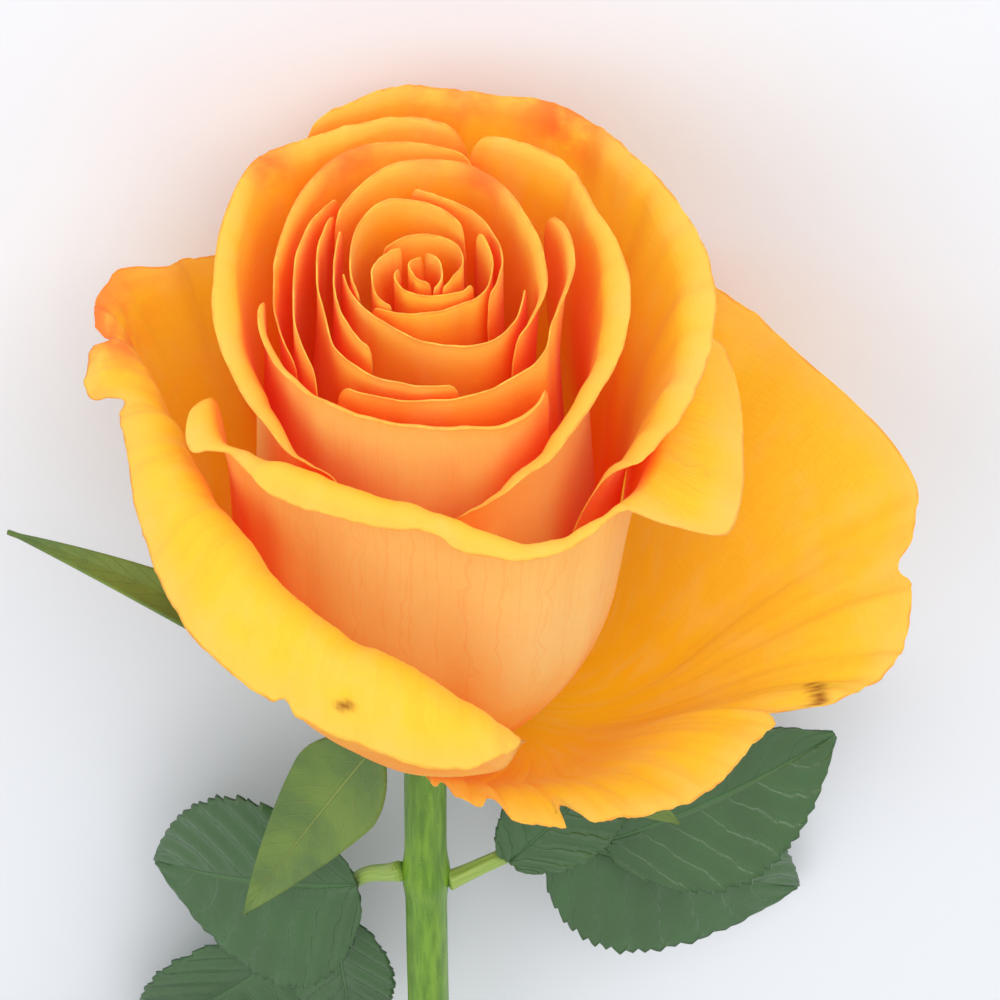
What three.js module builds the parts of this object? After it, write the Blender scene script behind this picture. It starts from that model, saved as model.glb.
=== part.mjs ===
// Cut hybrid tea rose: layered bloom, five sepals, hip, prickly stem and four leaves.
// Modelled upright in a flower frame (mm, stem along z), then laid down on its side.
// Flower azimuth: 0 = front of the bloom, 90 = right, 180 = back, -90 = left.
import * as THREE from 'three';

// ---- driving dimensions (mm and degrees) ----
const BLOOM_SPREAD = 1.0;        // scales every petal radius
const BLOOM_HEIGHT = 1.0;        // scales every petal height
const PETAL_THICKNESS = 0.32;
const STEM_LENGTH = 226;
const STEM_RADIUS = 2.6;
const STEM_THICKENING = 0.16;    // share gained from the bloom to the cut end
const STEM_OFFSET = 0.8;         // how far left of the middle the stem leaves the hip
const STEM_LEAN = 0.015;         // drift to the left per mm
const STEM_BOW = 9;              // bend to the right at the cut end
const NODE_SWELL = 0.45;         // extra radius where a leaf leaves the stem
const NODE_SPAN = 3;
const HIP_RADIUS = 7.2;
const RIM_OVERHANG = 2.7;        // how far the hip's upper rim, which the petals sit on, stands out
const HIP_LENGTH = 15;
const SEPAL_THICKNESS = 0.55;
const LEAF_THICKNESS = 0.6;
const LEAF_SCALE = 1.0;          // scales each leaf about its start on the stem
const PETIOLE_RADIUS = 0.9;
const LEAFLET_STALK = 0.4;       // bare length between petiole and blade
const JOIN_GAP = 0.35;           // clearance between parts that touch in life
const REST_TILT = 6.0;           // bloom end raised by the outer petals

// ---- materials ----
const paint = (name, color, roughness) => {
  const material = new THREE.MeshStandardMaterial({ color, roughness, metalness: 0 });
  material.name = name;
  return material;
};
const PETAL_HEART = () => paint('petal_heart', 0xf5c21e, 0.55);
const PETAL_INNER = () => paint('petal_inner', 0xf6b52a, 0.55);
const PETAL_CUP = () => paint('petal_cup', 0xf5be25, 0.55);
const PETAL_OUTER = () => paint('petal_outer', 0xf4c328, 0.55);
const SEPAL_GREEN = () => paint('sepal_green', 0x8fa845, 0.7);
const STEM_GREEN = () => paint('stem_green', 0x74a843, 0.5);
const LEAF_GREEN = () => paint('leaf_green', 0x3e6b3f, 0.4);
const PETIOLE_GREEN = () => paint('petiole_green', 0x9aba4e, 0.5);

// ---- petals ----
// base: [radius, height] of the attachment on a hip whose rim is RIM_DRAWN, flare: its angle.
// crest: [azimuth, radius, height, lean, roll, lip] along the top edge, where the
// petal leans outward by `lean` and then its lip of length `lip` turns by `roll`.
// fold: radius of the lip's turn when it is tighter than the lip is long.
// corner: [share of the half width that is rounded off, how far the end drops].
const RIM_DRAWN = 9.9;
const rimScale = (HIP_RADIUS + RIM_OVERHANG) / RIM_DRAWN;
const CORNER = [0.2, 14];
const FOLD = 9;
const BELLY = 0.42;              // how far the sweep keeps its end directions
const CLAW_SHARE = 0.42;         // width of a petal's base as a share of its rim
const CLAW_ANGLE = 30;           // and its most, to either side
const PETALS = [
  { name: 'petal_heart_1', paint: PETAL_HEART,
    base: [0.6, 0], flare: 2, ribs: 12, corner: [0.12, 4],
    crest: [[-185, 1.9, 61.4, 0, 0, 0], [-110, 1.5, 61.5, 0, 0, 0], [-75, 1, 61, 0, 0, 0],
      [10, 1.2, 60.7, 0, 0, 0], [38, 1.9, 60.4, 0, 0, 0]] },
  { name: 'petal_heart_2', paint: PETAL_HEART,
    base: [1.1, -0.1], flare: 4, ribs: 8, corner: [0.1, 4],
    crest: [[28, 2.4, 60.4, 0, 0, 0], [66, 2.3, 60.9, 0, 0, 0], [100, 2.1, 61.5, 0, 0, 0],
      [140, 2.1, 61.8, 0, 0, 0], [176, 2.4, 61.6, 0, 0, 0]] },
  { name: 'petal_heart_3', paint: PETAL_HEART,
    base: [1.6, -0.2], flare: 7, ribs: 11, corner: [0.1, 4],
    crest: [[44, 2.9, 60.3, 0, 0, 0], [82, 3.4, 60.9, 0, 0, 0], [104, 4.3, 61.2, 0, 5, 0.3],
      [130, 4.8, 61.7, 0, 15, 0.4], [170, 4.6, 61.9, 0, 15, 0.5], [200, 4.7, 61.9, 0, 10, 0.4],
      [238, 5.4, 61.5, 0, 0, 0]] },
  { name: 'petal_heart_4', paint: PETAL_HEART,
    base: [1.9, -0.3], flare: 7, ribs: 10, corner: [0.1, 4],
    crest: [[-104, 2.3, 61.2, 0, 0, 0], [-77, 3, 60.9, 0, 0, 0], [-60, 2.8, 60.2, 0, 5, 0.2],
      [-8, 2.3, 59.8, 0, 10, 0.2], [57, 4, 59.7, 0, 10, 0.2], [74, 5.2, 60.1, 0, 0, 0],
      [84, 5.6, 60.8, 0, 0, 0]] },
  { name: 'petal_heart_5', paint: PETAL_HEART,
    base: [1.8, -0.4], flare: 7, ribs: 8, corner: [0.1, 4],
    crest: [[220, 3.3, 62, 0, 0, 0.2], [225, 3.5, 62, 0, 5, 0.2], [248, 4.5, 61.6, 0, 8, 0.3],
      [279, 5.6, 61, 0, 8, 0.3], [299, 5.7, 60.3, 0, 0, 0.2], [322, 5, 59.4, 0, 0, 0]] },
  { name: 'petal_heart_6', paint: PETAL_HEART,
    base: [3.1, -0.5], flare: 12, ribs: 12, corner: [0.1, 4],
    crest: [[-60, 6.7, 59.4, 0, 0, 0], [-20, 4.6, 58.8, 0, 5, 0.2], [14, 4.1, 58.7, 0, 10, 0.3],
      [54, 5, 58.7, 0, 10, 0.3], [68, 6.2, 59.2, 0, 5, 0.2], [82, 7.3, 59.9, 0, 5, 0.4],
      [97, 7.5, 61.3, 0, 20, 0.7], [112, 7.3, 62.3, 0, 25, 0.7], [128, 7.1, 63.1, 0, 20, 0.5]] },
  { name: 'petal_inner_1', paint: PETAL_INNER,
    base: [3.6, -0.7], flare: 15, ribs: 12, corner: [0.1, 4],
    crest: [[132, 6.2, 63, 0, 5, 0.4], [140, 6.3, 63.2, 0, 10, 0.5], [160, 6.8, 63.5, 0, 20, 0.6],
      [182, 7.7, 63.7, 0, 20, 0.6], [208, 9.1, 63.3, 0, 20, 0.8], [232, 8.5, 62.7, 0, 15, 0.8],
      [257, 7.9, 62, 0, 10, 0.5], [290, 7.5, 61, 0, 0, 0], [299, 7.3, 60.5, 0, 0, 0]] },
  { name: 'petal_inner_2', paint: PETAL_INNER,
    base: [4.1, -0.9], flare: 19, ribs: 9, corner: [0.1, 4],
    crest: [[66, 7.7, 60, 0, 0, 0.2], [82, 8.2, 60.7, 0, 5, 0.3], [98, 8.5, 61.6, 0, 8, 0.4],
      [133, 8.5, 63.1, 0, 15, 0.5], [160, 8.4, 63.9, 0, 15, 0.5], [190, 9.8, 64.2, 0, 15, 0.4]] },
  { name: 'petal_inner_3', paint: PETAL_INNER,
    base: [4.6, -1.1], flare: 23, ribs: 13, corner: [0.1, 4],
    crest: [[-94, 8.6, 61.5, 0, 0, 0], [-70, 8, 60.4, 0, 0, 0.2], [-49, 7.4, 59.1, 5, 5, 0.5],
      [-20, 6.8, 57.5, 8, 15, 1], [6, 7.5, 56.9, 10, 25, 1.2], [31, 9.3, 56.9, 10, 25, 1.2],
      [48, 10.6, 57.4, 8, 20, 1], [65, 11.3, 58.7, 5, 10, 0.6], [86, 11.2, 60.5, 0, 5, 0.3]] },
  { name: 'petal_inner_4', paint: PETAL_INNER,
    base: [5.1, -1.3], flare: 27, ribs: 14, corner: [0.1, 4],
    crest: [[52, 12.5, 57.5, 4, 25, 1.2], [66, 12.6, 58, 4, 35, 1.8], [79, 12.6, 58.9, 4, 40, 2.2],
      [95, 12.2, 60.7, 4, 40, 2.2], [116, 11.8, 61.9, 4, 30, 2.2], [147, 12.8, 63.1, 4, 30, 2],
      [165, 13.3, 63.3, 4, 30, 2], [190, 13.2, 63.4, 4, 30, 1.8], [217, 11.9, 63.1, 4, 20, 1.2],
      [240, 11, 63, 0, 5, 0.4]] },
  { name: 'petal_inner_5', paint: PETAL_INNER,
    base: [5.4, -1.5], flare: 29, ribs: 9, corner: [0.1, 4],
    crest: [[240, 9.9, 62.9, 0, 0, 0.3], [261, 9.4, 61.8, 0, 5, 0.4], [285, 9.6, 60.2, 0, 5, 0.4],
      [300, 9.9, 59.1, 0, 5, 0.4], [323, 10.1, 57.7, 0, 5, 0.3], [329, 10, 57.7, 0, 0, 0]] },
  { name: 'petal_ring_1', paint: PETAL_INNER,
    base: [6, -1.9], flare: 34, ribs: 12, corner: [0.1, 4],
    crest: [[-130, 12.1, 62.9, 0, 0, 0.3], [-108, 11.5, 62.2, 0, 10, 0.6],
      [-94, 11.2, 61.2, 0, 10, 0.6], [-74, 11.2, 59.1, 0, 10, 0.7], [-48, 12, 56.2, 5, 15, 1],
      [-16, 11.9, 55.1, 8, 20, 1], [20, 12.5, 55.4, 5, 10, 0.4]] },
  { name: 'petal_ring_2', paint: PETAL_INNER,
    base: [6.4, -2.2], flare: 36, ribs: 13, corner: [0.1, 4],
    crest: [[-40, 14.2, 54.8, 0, 0, 0.2], [-10, 13.2, 53.7, 5, 25, 1], [18, 13.5, 54, 5, 20, 1.1],
      [44, 14.7, 55.1, 5, 15, 1], [58, 15.6, 56.7, 0, 10, 0.8], [66, 15.1, 58.6, 0, 20, 1],
      [78, 15.2, 59.9, 5, 40, 1.6], [90, 15.5, 61.5, 8, 40, 1.6], [103, 15.4, 62.9, 5, 25, 1.4],
      [118, 14.9, 63.2, 0, 10, 0.4]] },
  { name: 'petal_ring_3', paint: PETAL_INNER,
    base: [6.8, -2.5], flare: 34, ribs: 9, belly: 0.38, corner: [0.1, 4],
    crest: [[-138, 13.5, 62.8, 0, 5, 0.4], [-114, 13.3, 62.6, 0, 10, 0.6], [-98, 13.5, 62, 0, 10, 0.6],
      [-80, 13.9, 60.1, 0, 5, 0.4], [-63, 14.7, 57.8, 0, 0, 0.2], [-46, 15.4, 55.8, 0, 0, 0]] },
  { name: 'petal_ring_4', paint: PETAL_CUP,
    base: [7.2, -2.8], flare: 42, ribs: 13, belly: 0.38, corner: [0.1, 4],
    crest: [[160, 16.8, 63, 4, 10, 0.6], [171, 17, 63, 4, 20, 1], [188, 17.3, 62.8, 4, 30, 1.8],
      [205, 17.6, 62.4, 4, 30, 2.2], [227, 16.4, 61.3, 4, 35, 2.4], [253, 15.4, 59.1, 4, 35, 2.4],
      [274, 15.7, 56.5, 4, 20, 1.6], [302, 15.6, 54.5, 0, 10, 0.8]] },
  { name: 'petal_ring_5', paint: PETAL_CUP,
    base: [7.6, -3.1], flare: 42, ribs: 13, belly: 0.38, corner: [0.1, 4],
    crest: [[-86, 17, 59, 0, 10, 0.6], [-78, 17.3, 57, 4, 40, 1.6], [-62, 17.1, 54.7, 4, 60, 2.2],
      [-49, 16.6, 53.8, 4, 70, 2], [-30, 15.7, 53.1, 4, 70, 2], [-9, 15.4, 52.6, 4, 70, 2],
      [14, 15.9, 52.1, 4, 75, 2.2], [33, 17.6, 52.6, 4, 75, 2], [42, 17.8, 53.3, 4, 50, 1.6],
      [51, 17.4, 54.8, 0, 20, 1]] },
  { name: 'petal_cup_1', paint: PETAL_CUP,
    base: [8, -3.4], flare: 48, ribs: 14, corner: [0.1, 7],
    crest: [[4, 21.5, 43.7, 5, 40, 1.5], [16, 21.1, 45.5, 8, 60, 2.6], [34, 20.6, 48.4, 10, 75, 3.6],
      [53, 20, 52.2, 8, 80, 4.2], [71, 19.7, 55.8, 12, 80, 4.4], [84, 19.6, 58.4, 12, 75, 4],
      [99, 19, 61.2, 12, 55, 3], [111, 18.6, 62.8, 10, 40, 2.2], [131, 19.1, 63.8, 10, 35, 2],
      [154, 18.6, 64.1, 8, 25, 1.6], [166, 18.2, 63.7, 5, 15, 1]] },
  { name: 'petal_cup_2', paint: PETAL_CUP,
    base: [8.4, -3.7], flare: 48, ribs: 14, corner: [0.1, 7],
    crest: [[166, 21.5, 62.8, 8, 20, 0.8], [188, 21.6, 62.8, 8, 30, 1.8],
      [204, 21.2, 62.2, 10, 40, 2.4], [218, 21.5, 61.8, 10, 40, 2.8], [229, 22.1, 62.2, 10, 40, 2.8],
      [251, 20.8, 59.8, 12, 60, 3.4], [266, 20.1, 57.4, 12, 75, 3.6], [280, 19.7, 54.4, 12, 80, 4.2],
      [296, 19.3, 51.6, 12, 80, 4], [311, 19.4, 48.8, 8, 70, 3.4], [321, 19.3, 47.1, 5, 60, 2.4],
      [336, 19.3, 45.7, 0, 20, 1]] },
  { name: 'petal_cup_3', paint: PETAL_CUP,
    base: [8.8, -4], flare: 47, ribs: 14, corner: [0.1, 7],
    crest: [[44, 26.2, 46.6, 24, 52, 2.6], [58, 27, 49.5, 24, 67, 4.2], [69, 27.4, 52.3, 24, 72, 5],
      [83, 27.6, 55.1, 24, 72, 5], [96, 27.5, 57.5, 24, 62, 4.6], [104, 27, 58.9, 24, 52, 4.2],
      [125, 26.6, 61.1, 12, 40, 3.2], [138, 26.8, 62, 12, 35, 2.8], [152, 26.6, 62.6, 12, 30, 2.6],
      [167, 25.6, 62.6, 10, 30, 2.4], [186, 25.8, 63, 10, 30, 2.4], [202, 25.1, 62.6, 8, 25, 1.8],
      [216, 24.6, 61.7, 8, 20, 1]] },
  { name: 'petal_cup_4', paint: PETAL_CUP,
    base: [9.4, -4.6], flare: 51, ribs: 20, fold: 2, corner: [0.06, 4],
    crest: [[-74, 23.5, 48.6, 8, 30, 1.5], [-68, 24, 47.5, 12, 70, 4], [-61, 24.4, 47, 12, 100, 5],
      [-54, 23.6, 47.6, 12, 120, 2.2], [-49, 23.2, 47.8, 12, 125, 3], [-37, 21.3, 47.6, 10, 130, 6],
      [-22, 20.9, 47.5, 8, 140, 6], [-6, 21.8, 47.3, 8, 140, 5.4], [3, 22.8, 46.9, 8, 140, 4.6],
      [8, 23.9, 46.6, 8, 135, 5.6], [13, 25.6, 46.3, 8, 130, 5.2], [22, 28, 45.6, 8, 125, 4.4],
      [30, 29, 45.4, 8, 120, 3], [37, 29.2, 45.8, 10, 110, 2], [42, 29.6, 46.4, 10, 90, 1.6],
      [46, 29.4, 46, 12, 78, 7], [52, 28.8, 45.4, 14, 76, 13], [63, 27.2, 45.2, 14, 76, 12],
      [72, 26, 45.6, 14, 76, 11], [85, 25.4, 46, 14, 72, 9.5], [97, 25.2, 46.4, 12, 65, 8]] },
  { name: 'petal_outer_left', paint: PETAL_OUTER,
    base: [9.8, -5.2], flare: 54, ribs: 18, belly: 0.42, fold: 4, corner: [0.05, 3],
    crest: [[-146, 39.2, 33, 35, 10, 1.5], [-136, 36, 39.5, 28, 10, 1], [-126, 35.8, 42.4, 22, 10, 1],
      [-118, 38.4, 42.8, 25, 15, 2.5], [-112, 38, 42.2, 25, 45, 3], [-106, 34.8, 41.6, 22, 80, 5],
      [-99, 31.3, 41.2, 18, 105, 8.2], [-92, 29.3, 41, 15, 116, 10.4], [-86, 28, 40.8, 12, 122, 7.5],
      [-76, 26.8, 40.2, 8, 124, 8.6], [-60, 26, 39.2, 6, 124, 12.2], [-48, 26.2, 38.4, 6, 124, 14.2],
      [-35, 28, 37.2, 6, 124, 15], [-20, 29.4, 34.8, 8, 126, 15], [-4, 30.7, 31.5, 10, 126, 14.6],
      [5, 32.7, 29.3, 14, 122, 12.6], [13, 35, 26.8, 20, 110, 7], [17, 36.8, 25.4, 25, 80, 3]] },
  { name: 'petal_outer_right', paint: PETAL_OUTER,
    base: [10.2, -6], flare: 94, ribs: 17, corner: [0.04, 2],
    crest: [[0, 20, 1.2, 75, 10, 1], [10, 24, 3, 75, 15, 1.5], [17, 28, 4.6, 78, 20, 2],
      [22, 31, 6, 80, 20, 2.5], [29, 33.6, 7, 80, 20, 2.5], [36, 36.3, 7.6, 80, 20, 2.5],
      [45, 39.4, 8.6, 80, 18, 2.5], [53, 40.6, 9.6, 78, 15, 2.5], [62, 41.6, 10.6, 76, 15, 2.5],
      [68, 47, 11.8, 74, 15, 2.5], [75, 52.4, 14, 70, 12, 2.5], [82, 54, 17.5, 65, 10, 2],
      [89, 54.2, 21.5, 60, 10, 1.5], [93, 55, 24, 58, 8, 1.5], [97, 53.2, 27, 52, 8, 1.5],
      [104, 49.2, 29.6, 45, 8, 1.5], [112, 45.6, 31.4, 38, 8, 1.5], [129, 41.8, 35, 30, 8, 1.2],
      [142, 40, 36.2, 25, 5, 1]] },
  { name: 'petal_outer_back', paint: PETAL_OUTER,
    base: [9.6, -4.9], flare: 58, ribs: 11,
    crest: [[128, 31, 48, 10, 20, 1], [150, 30.5, 50.5, 12, 45, 2.5], [170, 30, 52, 12, 55, 3],
      [192, 30, 52, 12, 55, 3], [212, 29.5, 50.5, 10, 45, 2.5], [230, 28.5, 48.5, 8, 20, 1]] },
];

const radians = THREE.MathUtils.degToRad;

// Monotone cubic through hand-set stations.
function station(stations, column, x) {
  const n = stations.length;
  const step = [];
  const slope = [];
  for (let i = 0; i < n - 1; i++) {
    step.push(stations[i + 1][0] - stations[i][0]);
    slope.push((stations[i + 1][column] - stations[i][column]) / step[i]);
  }
  const tangent = (i) => {
    if (i === 0) return slope[0];
    if (i === n - 1) return slope[n - 2];
    if (slope[i - 1] * slope[i] <= 0) return 0;
    const a = 2 * step[i] + step[i - 1];
    const b = step[i] + 2 * step[i - 1];
    return (a + b) / (a / slope[i - 1] + b / slope[i]);
  };
  let k = 0;
  while (k < n - 2 && x > stations[k + 1][0]) k++;
  const h = step[k];
  const t = (x - stations[k][0]) / h;
  const t2 = t * t;
  const t3 = t2 * t;
  return (2 * t3 - 3 * t2 + 1) * stations[k][column] + (t3 - 2 * t2 + t) * h * tangent(k)
    + (3 * t2 - 2 * t3) * stations[k + 1][column] + (t3 - t2) * h * tangent(k + 1);
}

// One vertical rib of a petal: a cubic sweep from base to crest, then the rolled lip.
function petalRib(petal, crest, azimuth, rows, lipRows) {
  const [middle, half] = [(crest[0][0] + crest.at(-1)[0]) / 2, (crest.at(-1)[0] - crest[0][0]) / 2];
  const narrow = Math.min(CLAW_SHARE, CLAW_ANGLE / half);
  const value = (column) => station(crest, column, azimuth);
  const [share, drop] = petal.corner ?? CORNER;
  const edge = (azimuth - middle) / half;
  const outer = Math.max(0, (Math.abs(edge) - 1 + share) / share);
  const rounding = 1 - Math.sqrt(1 - Math.min(outer, 1) ** 2);
  const lean = radians(value(3));
  const roll = radians(value(4));
  const lip = Math.max(value(5) * (1 - rounding), 0.05);
  const r0 = petal.base[0] * rimScale;
  const z0 = petal.base[1];
  const r3 = value(1) * BLOOM_SPREAD;
  const z3 = value(2) * BLOOM_HEIGHT;
  const reach = (petal.belly ?? BELLY) * Math.hypot(r3 - r0, z3 - z0);
  const flare = radians(petal.flare);
  const r1 = r0 + reach * Math.sin(flare);
  const z1 = z0 + reach * Math.cos(flare);
  const r2 = r3 - reach * Math.sin(lean);
  const z2 = z3 - reach * Math.cos(lean);
  const rib = [];
  const put = (angle, r, z) => {
    const a = radians(angle);
    rib.push(new THREE.Vector3(r * Math.sin(a), -r * Math.cos(a), z));
  };
  for (let j = 0; j <= rows; j++) {
    const t = j / rows * (1 - rounding * drop / Math.hypot(r3 - r0, z3 - z0));
    const s = 1 - t;
    const b = [s * s * s, 3 * s * s * t, 3 * s * t * t, t * t * t];
    const w = THREE.MathUtils.smoothstep(t, 0, 0.6);
    put(middle + (azimuth - middle) * (narrow + (1 - narrow) * w),
      b[0] * r0 + b[1] * r1 + b[2] * r2 + b[3] * r3,
      b[0] * z0 + b[1] * z1 + b[2] * z2 + b[3] * z3);
  }
  const curl = Math.min(lip, Math.max((petal.fold ?? FOLD) * roll, 0.01));
  let [r, z] = [Math.hypot(rib.at(-1).x, rib.at(-1).y), rib.at(-1).z];
  const steps = 24;
  for (let k = 1; k <= steps; k++) {
    const travelled = lip * (k - 0.5) / steps;
    const angle = lean + roll * Math.min(1, travelled / curl);
    r += Math.sin(angle) * lip / steps;
    z += Math.cos(angle) * lip / steps;
    if (k % (steps / lipRows) === 0) put(azimuth, r, z);
  }
  return rib;
}

// Closed shell of even thickness around a grid of points.
function shell(grid, thickness) {
  const rows = grid.length;
  const cols = grid[0].length;
  const at = (i, j) => grid[Math.min(Math.max(i, 0), rows - 1)][Math.min(Math.max(j, 0), cols - 1)];
  const points = [];
  for (const side of [0.5, -0.5]) {
    for (let i = 0; i < rows; i++) {
      for (let j = 0; j < cols; j++) {
        const across = at(i + 1, j).clone().sub(at(i - 1, j));
        const along = at(i, j + 1).clone().sub(at(i, j - 1));
        const normal = along.cross(across).normalize();
        const p = grid[i][j].clone().addScaledVector(normal, side * thickness);
        points.push(p.x, p.y, p.z);
      }
    }
  }
  const size = rows * cols;
  const id = (i, j, far) => i * cols + j + (far ? size : 0);
  const faces = [];
  const quad = (a, b, c, d) => faces.push(a, b, c, a, c, d);
  for (let i = 0; i < rows - 1; i++) {
    for (let j = 0; j < cols - 1; j++) {
      quad(id(i, j), id(i, j + 1), id(i + 1, j + 1), id(i + 1, j));
      quad(id(i, j, 1), id(i + 1, j, 1), id(i + 1, j + 1, 1), id(i, j + 1, 1));
    }
    quad(id(i, 0), id(i + 1, 0), id(i + 1, 0, 1), id(i, 0, 1));
    quad(id(i, cols - 1), id(i, cols - 1, 1), id(i + 1, cols - 1, 1), id(i + 1, cols - 1));
  }
  for (let j = 0; j < cols - 1; j++) {
    quad(id(0, j), id(0, j, 1), id(0, j + 1, 1), id(0, j + 1));
    quad(id(rows - 1, j), id(rows - 1, j + 1), id(rows - 1, j + 1, 1), id(rows - 1, j, 1));
  }
  const geometry = new THREE.BufferGeometry();
  geometry.setAttribute('position', new THREE.Float32BufferAttribute(points, 3));
  geometry.setIndex(faces);
  geometry.computeVertexNormals();
  return geometry;
}

function petalGeometry(petal) {
  const crest = petal.crest.slice().sort((a, b) => a[0] - b[0]);
  const rows = petal.base[0] < 4.2 ? 5 : 6;
  const widest = Math.max(...crest.map((s) => s[5]));
  const lipRows = widest > 6 ? 4 : widest > 1.5 ? 2 : 1;
  const grid = [];
  for (let i = 0; i < petal.ribs; i++) {
    const azimuth = THREE.MathUtils.lerp(crest[0][0], crest.at(-1)[0], i / (petal.ribs - 1));
    grid.push(petalRib(petal, crest, azimuth, rows, lipRows));
  }
  return shell(grid, PETAL_THICKNESS);
}

// ---- blades: leaflets, stipules and sepals ----
// A blade runs base -> tip along a bent midrib; `face` is the way its upper side looks.
// `bow` lifts the middle toward the face, `droop` drops the tip, `cup` lifts the margins,
// `taper` shapes the narrowing beyond the widest point.
function bladeGeometry(blade) {
  const { from, to, face, width, bow, droop, cup, sections, teeth, thickness, widest, taper } = blade;
  const base = new THREE.Vector3(...from);
  const tip = new THREE.Vector3(...to);
  const up = new THREE.Vector3(...face).normalize();
  const length = base.distanceTo(tip);
  const along = tip.clone().sub(base).normalize();
  const side = along.clone().cross(up).normalize();
  const lift = side.clone().cross(along).normalize();
  const grid = [];
  for (let i = 0; i <= sections; i++) {
    const t = 0.02 + 0.97 * i / sections;
    const middle = base.clone().lerp(tip, t).addScaledVector(up, bow * 4 * t * (1 - t) - droop * t * t);
    const away = t < widest ? (widest - t) / widest : (t - widest) / (1 - widest);
    const outline = t < widest ? Math.pow(1 - away * away, 0.6) : 1 - Math.pow(away, taper);
    const tooth = teeth && i % 2 === 0 ? 0.93 : 1;
    const half = Math.max(width / 2 * outline * tooth, 0.35);
    const row = [];
    for (const s of [1, 0.45, -0.45, -1]) {
      row.push(middle.clone().addScaledVector(side, half * s * (1 - 0.06 * s * s))
        .addScaledVector(lift, cup * half * Math.abs(s) ** 1.4)
        .addScaledVector(along, teeth && i % 2 && Math.abs(s) === 1 ? length * 0.012 : 0));
    }
    grid.push(row);
  }
  return shell(grid, thickness);
}

// ---- round swept parts ----
// Closed tube through [x, y, z, radius] points; `spikes` push one vertex outward.
function tubeGeometry(path, sides, spikes = []) {
  const centre = path.map((p) => new THREE.Vector3(p[0], p[1], p[2]));
  const points = [];
  const count = centre.length;
  const seed = new THREE.Vector3(0.31, -0.87, 0.38).normalize();
  for (let i = 0; i < count; i++) {
    const next = centre[Math.min(i + 1, count - 1)];
    const along = next.clone().sub(centre[Math.max(i - 1, 0)]).normalize();
    const u = seed.clone().cross(along).normalize();
    const v = along.clone().cross(u);
    for (let k = 0; k < sides; k++) {
      const a = 2 * Math.PI * k / sides;
      const spike = spikes.find((s) => s[0] === i && s[1] === k);
      const reach = path[i][3] + (spike ? spike[2] : 0);
      const p = centre[i].clone().addScaledVector(u, reach * Math.cos(a));
      p.addScaledVector(v, reach * Math.sin(a));
      if (spike) p.addScaledVector(along, spike[2] * 0.35);
      points.push(p.x, p.y, p.z);
    }
  }
  points.push(...centre[0].toArray(), ...centre[count - 1].toArray());
  const faces = [];
  for (let k = 0; k < sides; k++) {
    const n = (k + 1) % sides;
    for (let i = 0; i < count - 1; i++) {
      const [a, b] = [i * sides + k, i * sides + n];
      faces.push(a, b, b + sides, a, b + sides, a + sides);
    }
    const last = (count - 1) * sides;
    faces.push(n, k, count * sides);
    faces.push(last + k, last + n, count * sides + 1);
  }
  const geometry = new THREE.BufferGeometry();
  geometry.setAttribute('position', new THREE.Float32BufferAttribute(points, 3));
  geometry.setIndex(faces);
  geometry.computeVertexNormals();
  return geometry;
}

const rose = new THREE.Group();
rose.name = 'cut_rose';
const add = (name, geometry, material) => {
  const mesh = new THREE.Mesh(geometry, material);
  mesh.name = name;
  rose.add(mesh);
};

for (const petal of PETALS) add(petal.name, petalGeometry(petal), petal.paint());

// ---- hip: the swollen top of the stem that carries petals and sepals ----
const hipEnd = -HIP_LENGTH - 1;
const receptacle = [[0, -0.5], [1.9, -0.95], [5.1, -2.2], [8.0, -4.2], [RIM_DRAWN, -6.5], [9.6, -7.2]];
const hipTop = receptacle.map(([r, z]) => [r * rimScale, z]);
const hipSide = [[HIP_RADIUS + 0.6, -8.6], [HIP_RADIUS, -10], [HIP_RADIUS * 0.75, -HIP_LENGTH * 0.9],
  [STEM_RADIUS + 0.7, hipEnd], [0, hipEnd]];
const hipProfile = [...hipTop, ...hipSide].reverse().map(([r, z]) => new THREE.Vector2(r, z));
const hip = new THREE.LatheGeometry(hipProfile, 24);
hip.rotateX(Math.PI / 2);
add('hip', hip, STEM_GREEN());

// ---- stem with prickles ----
// It leaves the hip a little off centre, leans slightly and bows gently toward its cut end.
const stemTop = hipEnd - JOIN_GAP;
const stemCentre = (z) => {
  const drop = stemTop - z;
  const x = -STEM_OFFSET - STEM_LEAN * drop + STEM_BOW * (drop / STEM_LENGTH) ** 2;
  return new THREE.Vector3(x, 0, z);
};
const NODES = [40, 98, 152];     // depth below the bloom where leaves leave the stem
const stemRadius = (z) => STEM_RADIUS * (1 + STEM_THICKENING * (stemTop - z) / STEM_LENGTH)
  + NODES.reduce((sum, n) => sum + NODE_SWELL * Math.exp(-(((z + n) / NODE_SPAN) ** 2)), 0);
const stemRings = 36;
const stemPath = [];
for (let i = 0; i <= stemRings; i++) {
  const z = stemTop - STEM_LENGTH * i / stemRings;
  stemPath.push([...stemCentre(z).toArray(), stemRadius(z)]);
}
// each prickle is [ring of the stem, side of the stem, height]
const PRICKLES = [[11, 6, 4.5], [15, 4, 5], [19, 8, 5], [24, 1, 5.5], [28, 6, 5], [32, 3, 5]];
add('stem', tubeGeometry(stemPath, 10, PRICKLES), STEM_GREEN());

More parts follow.
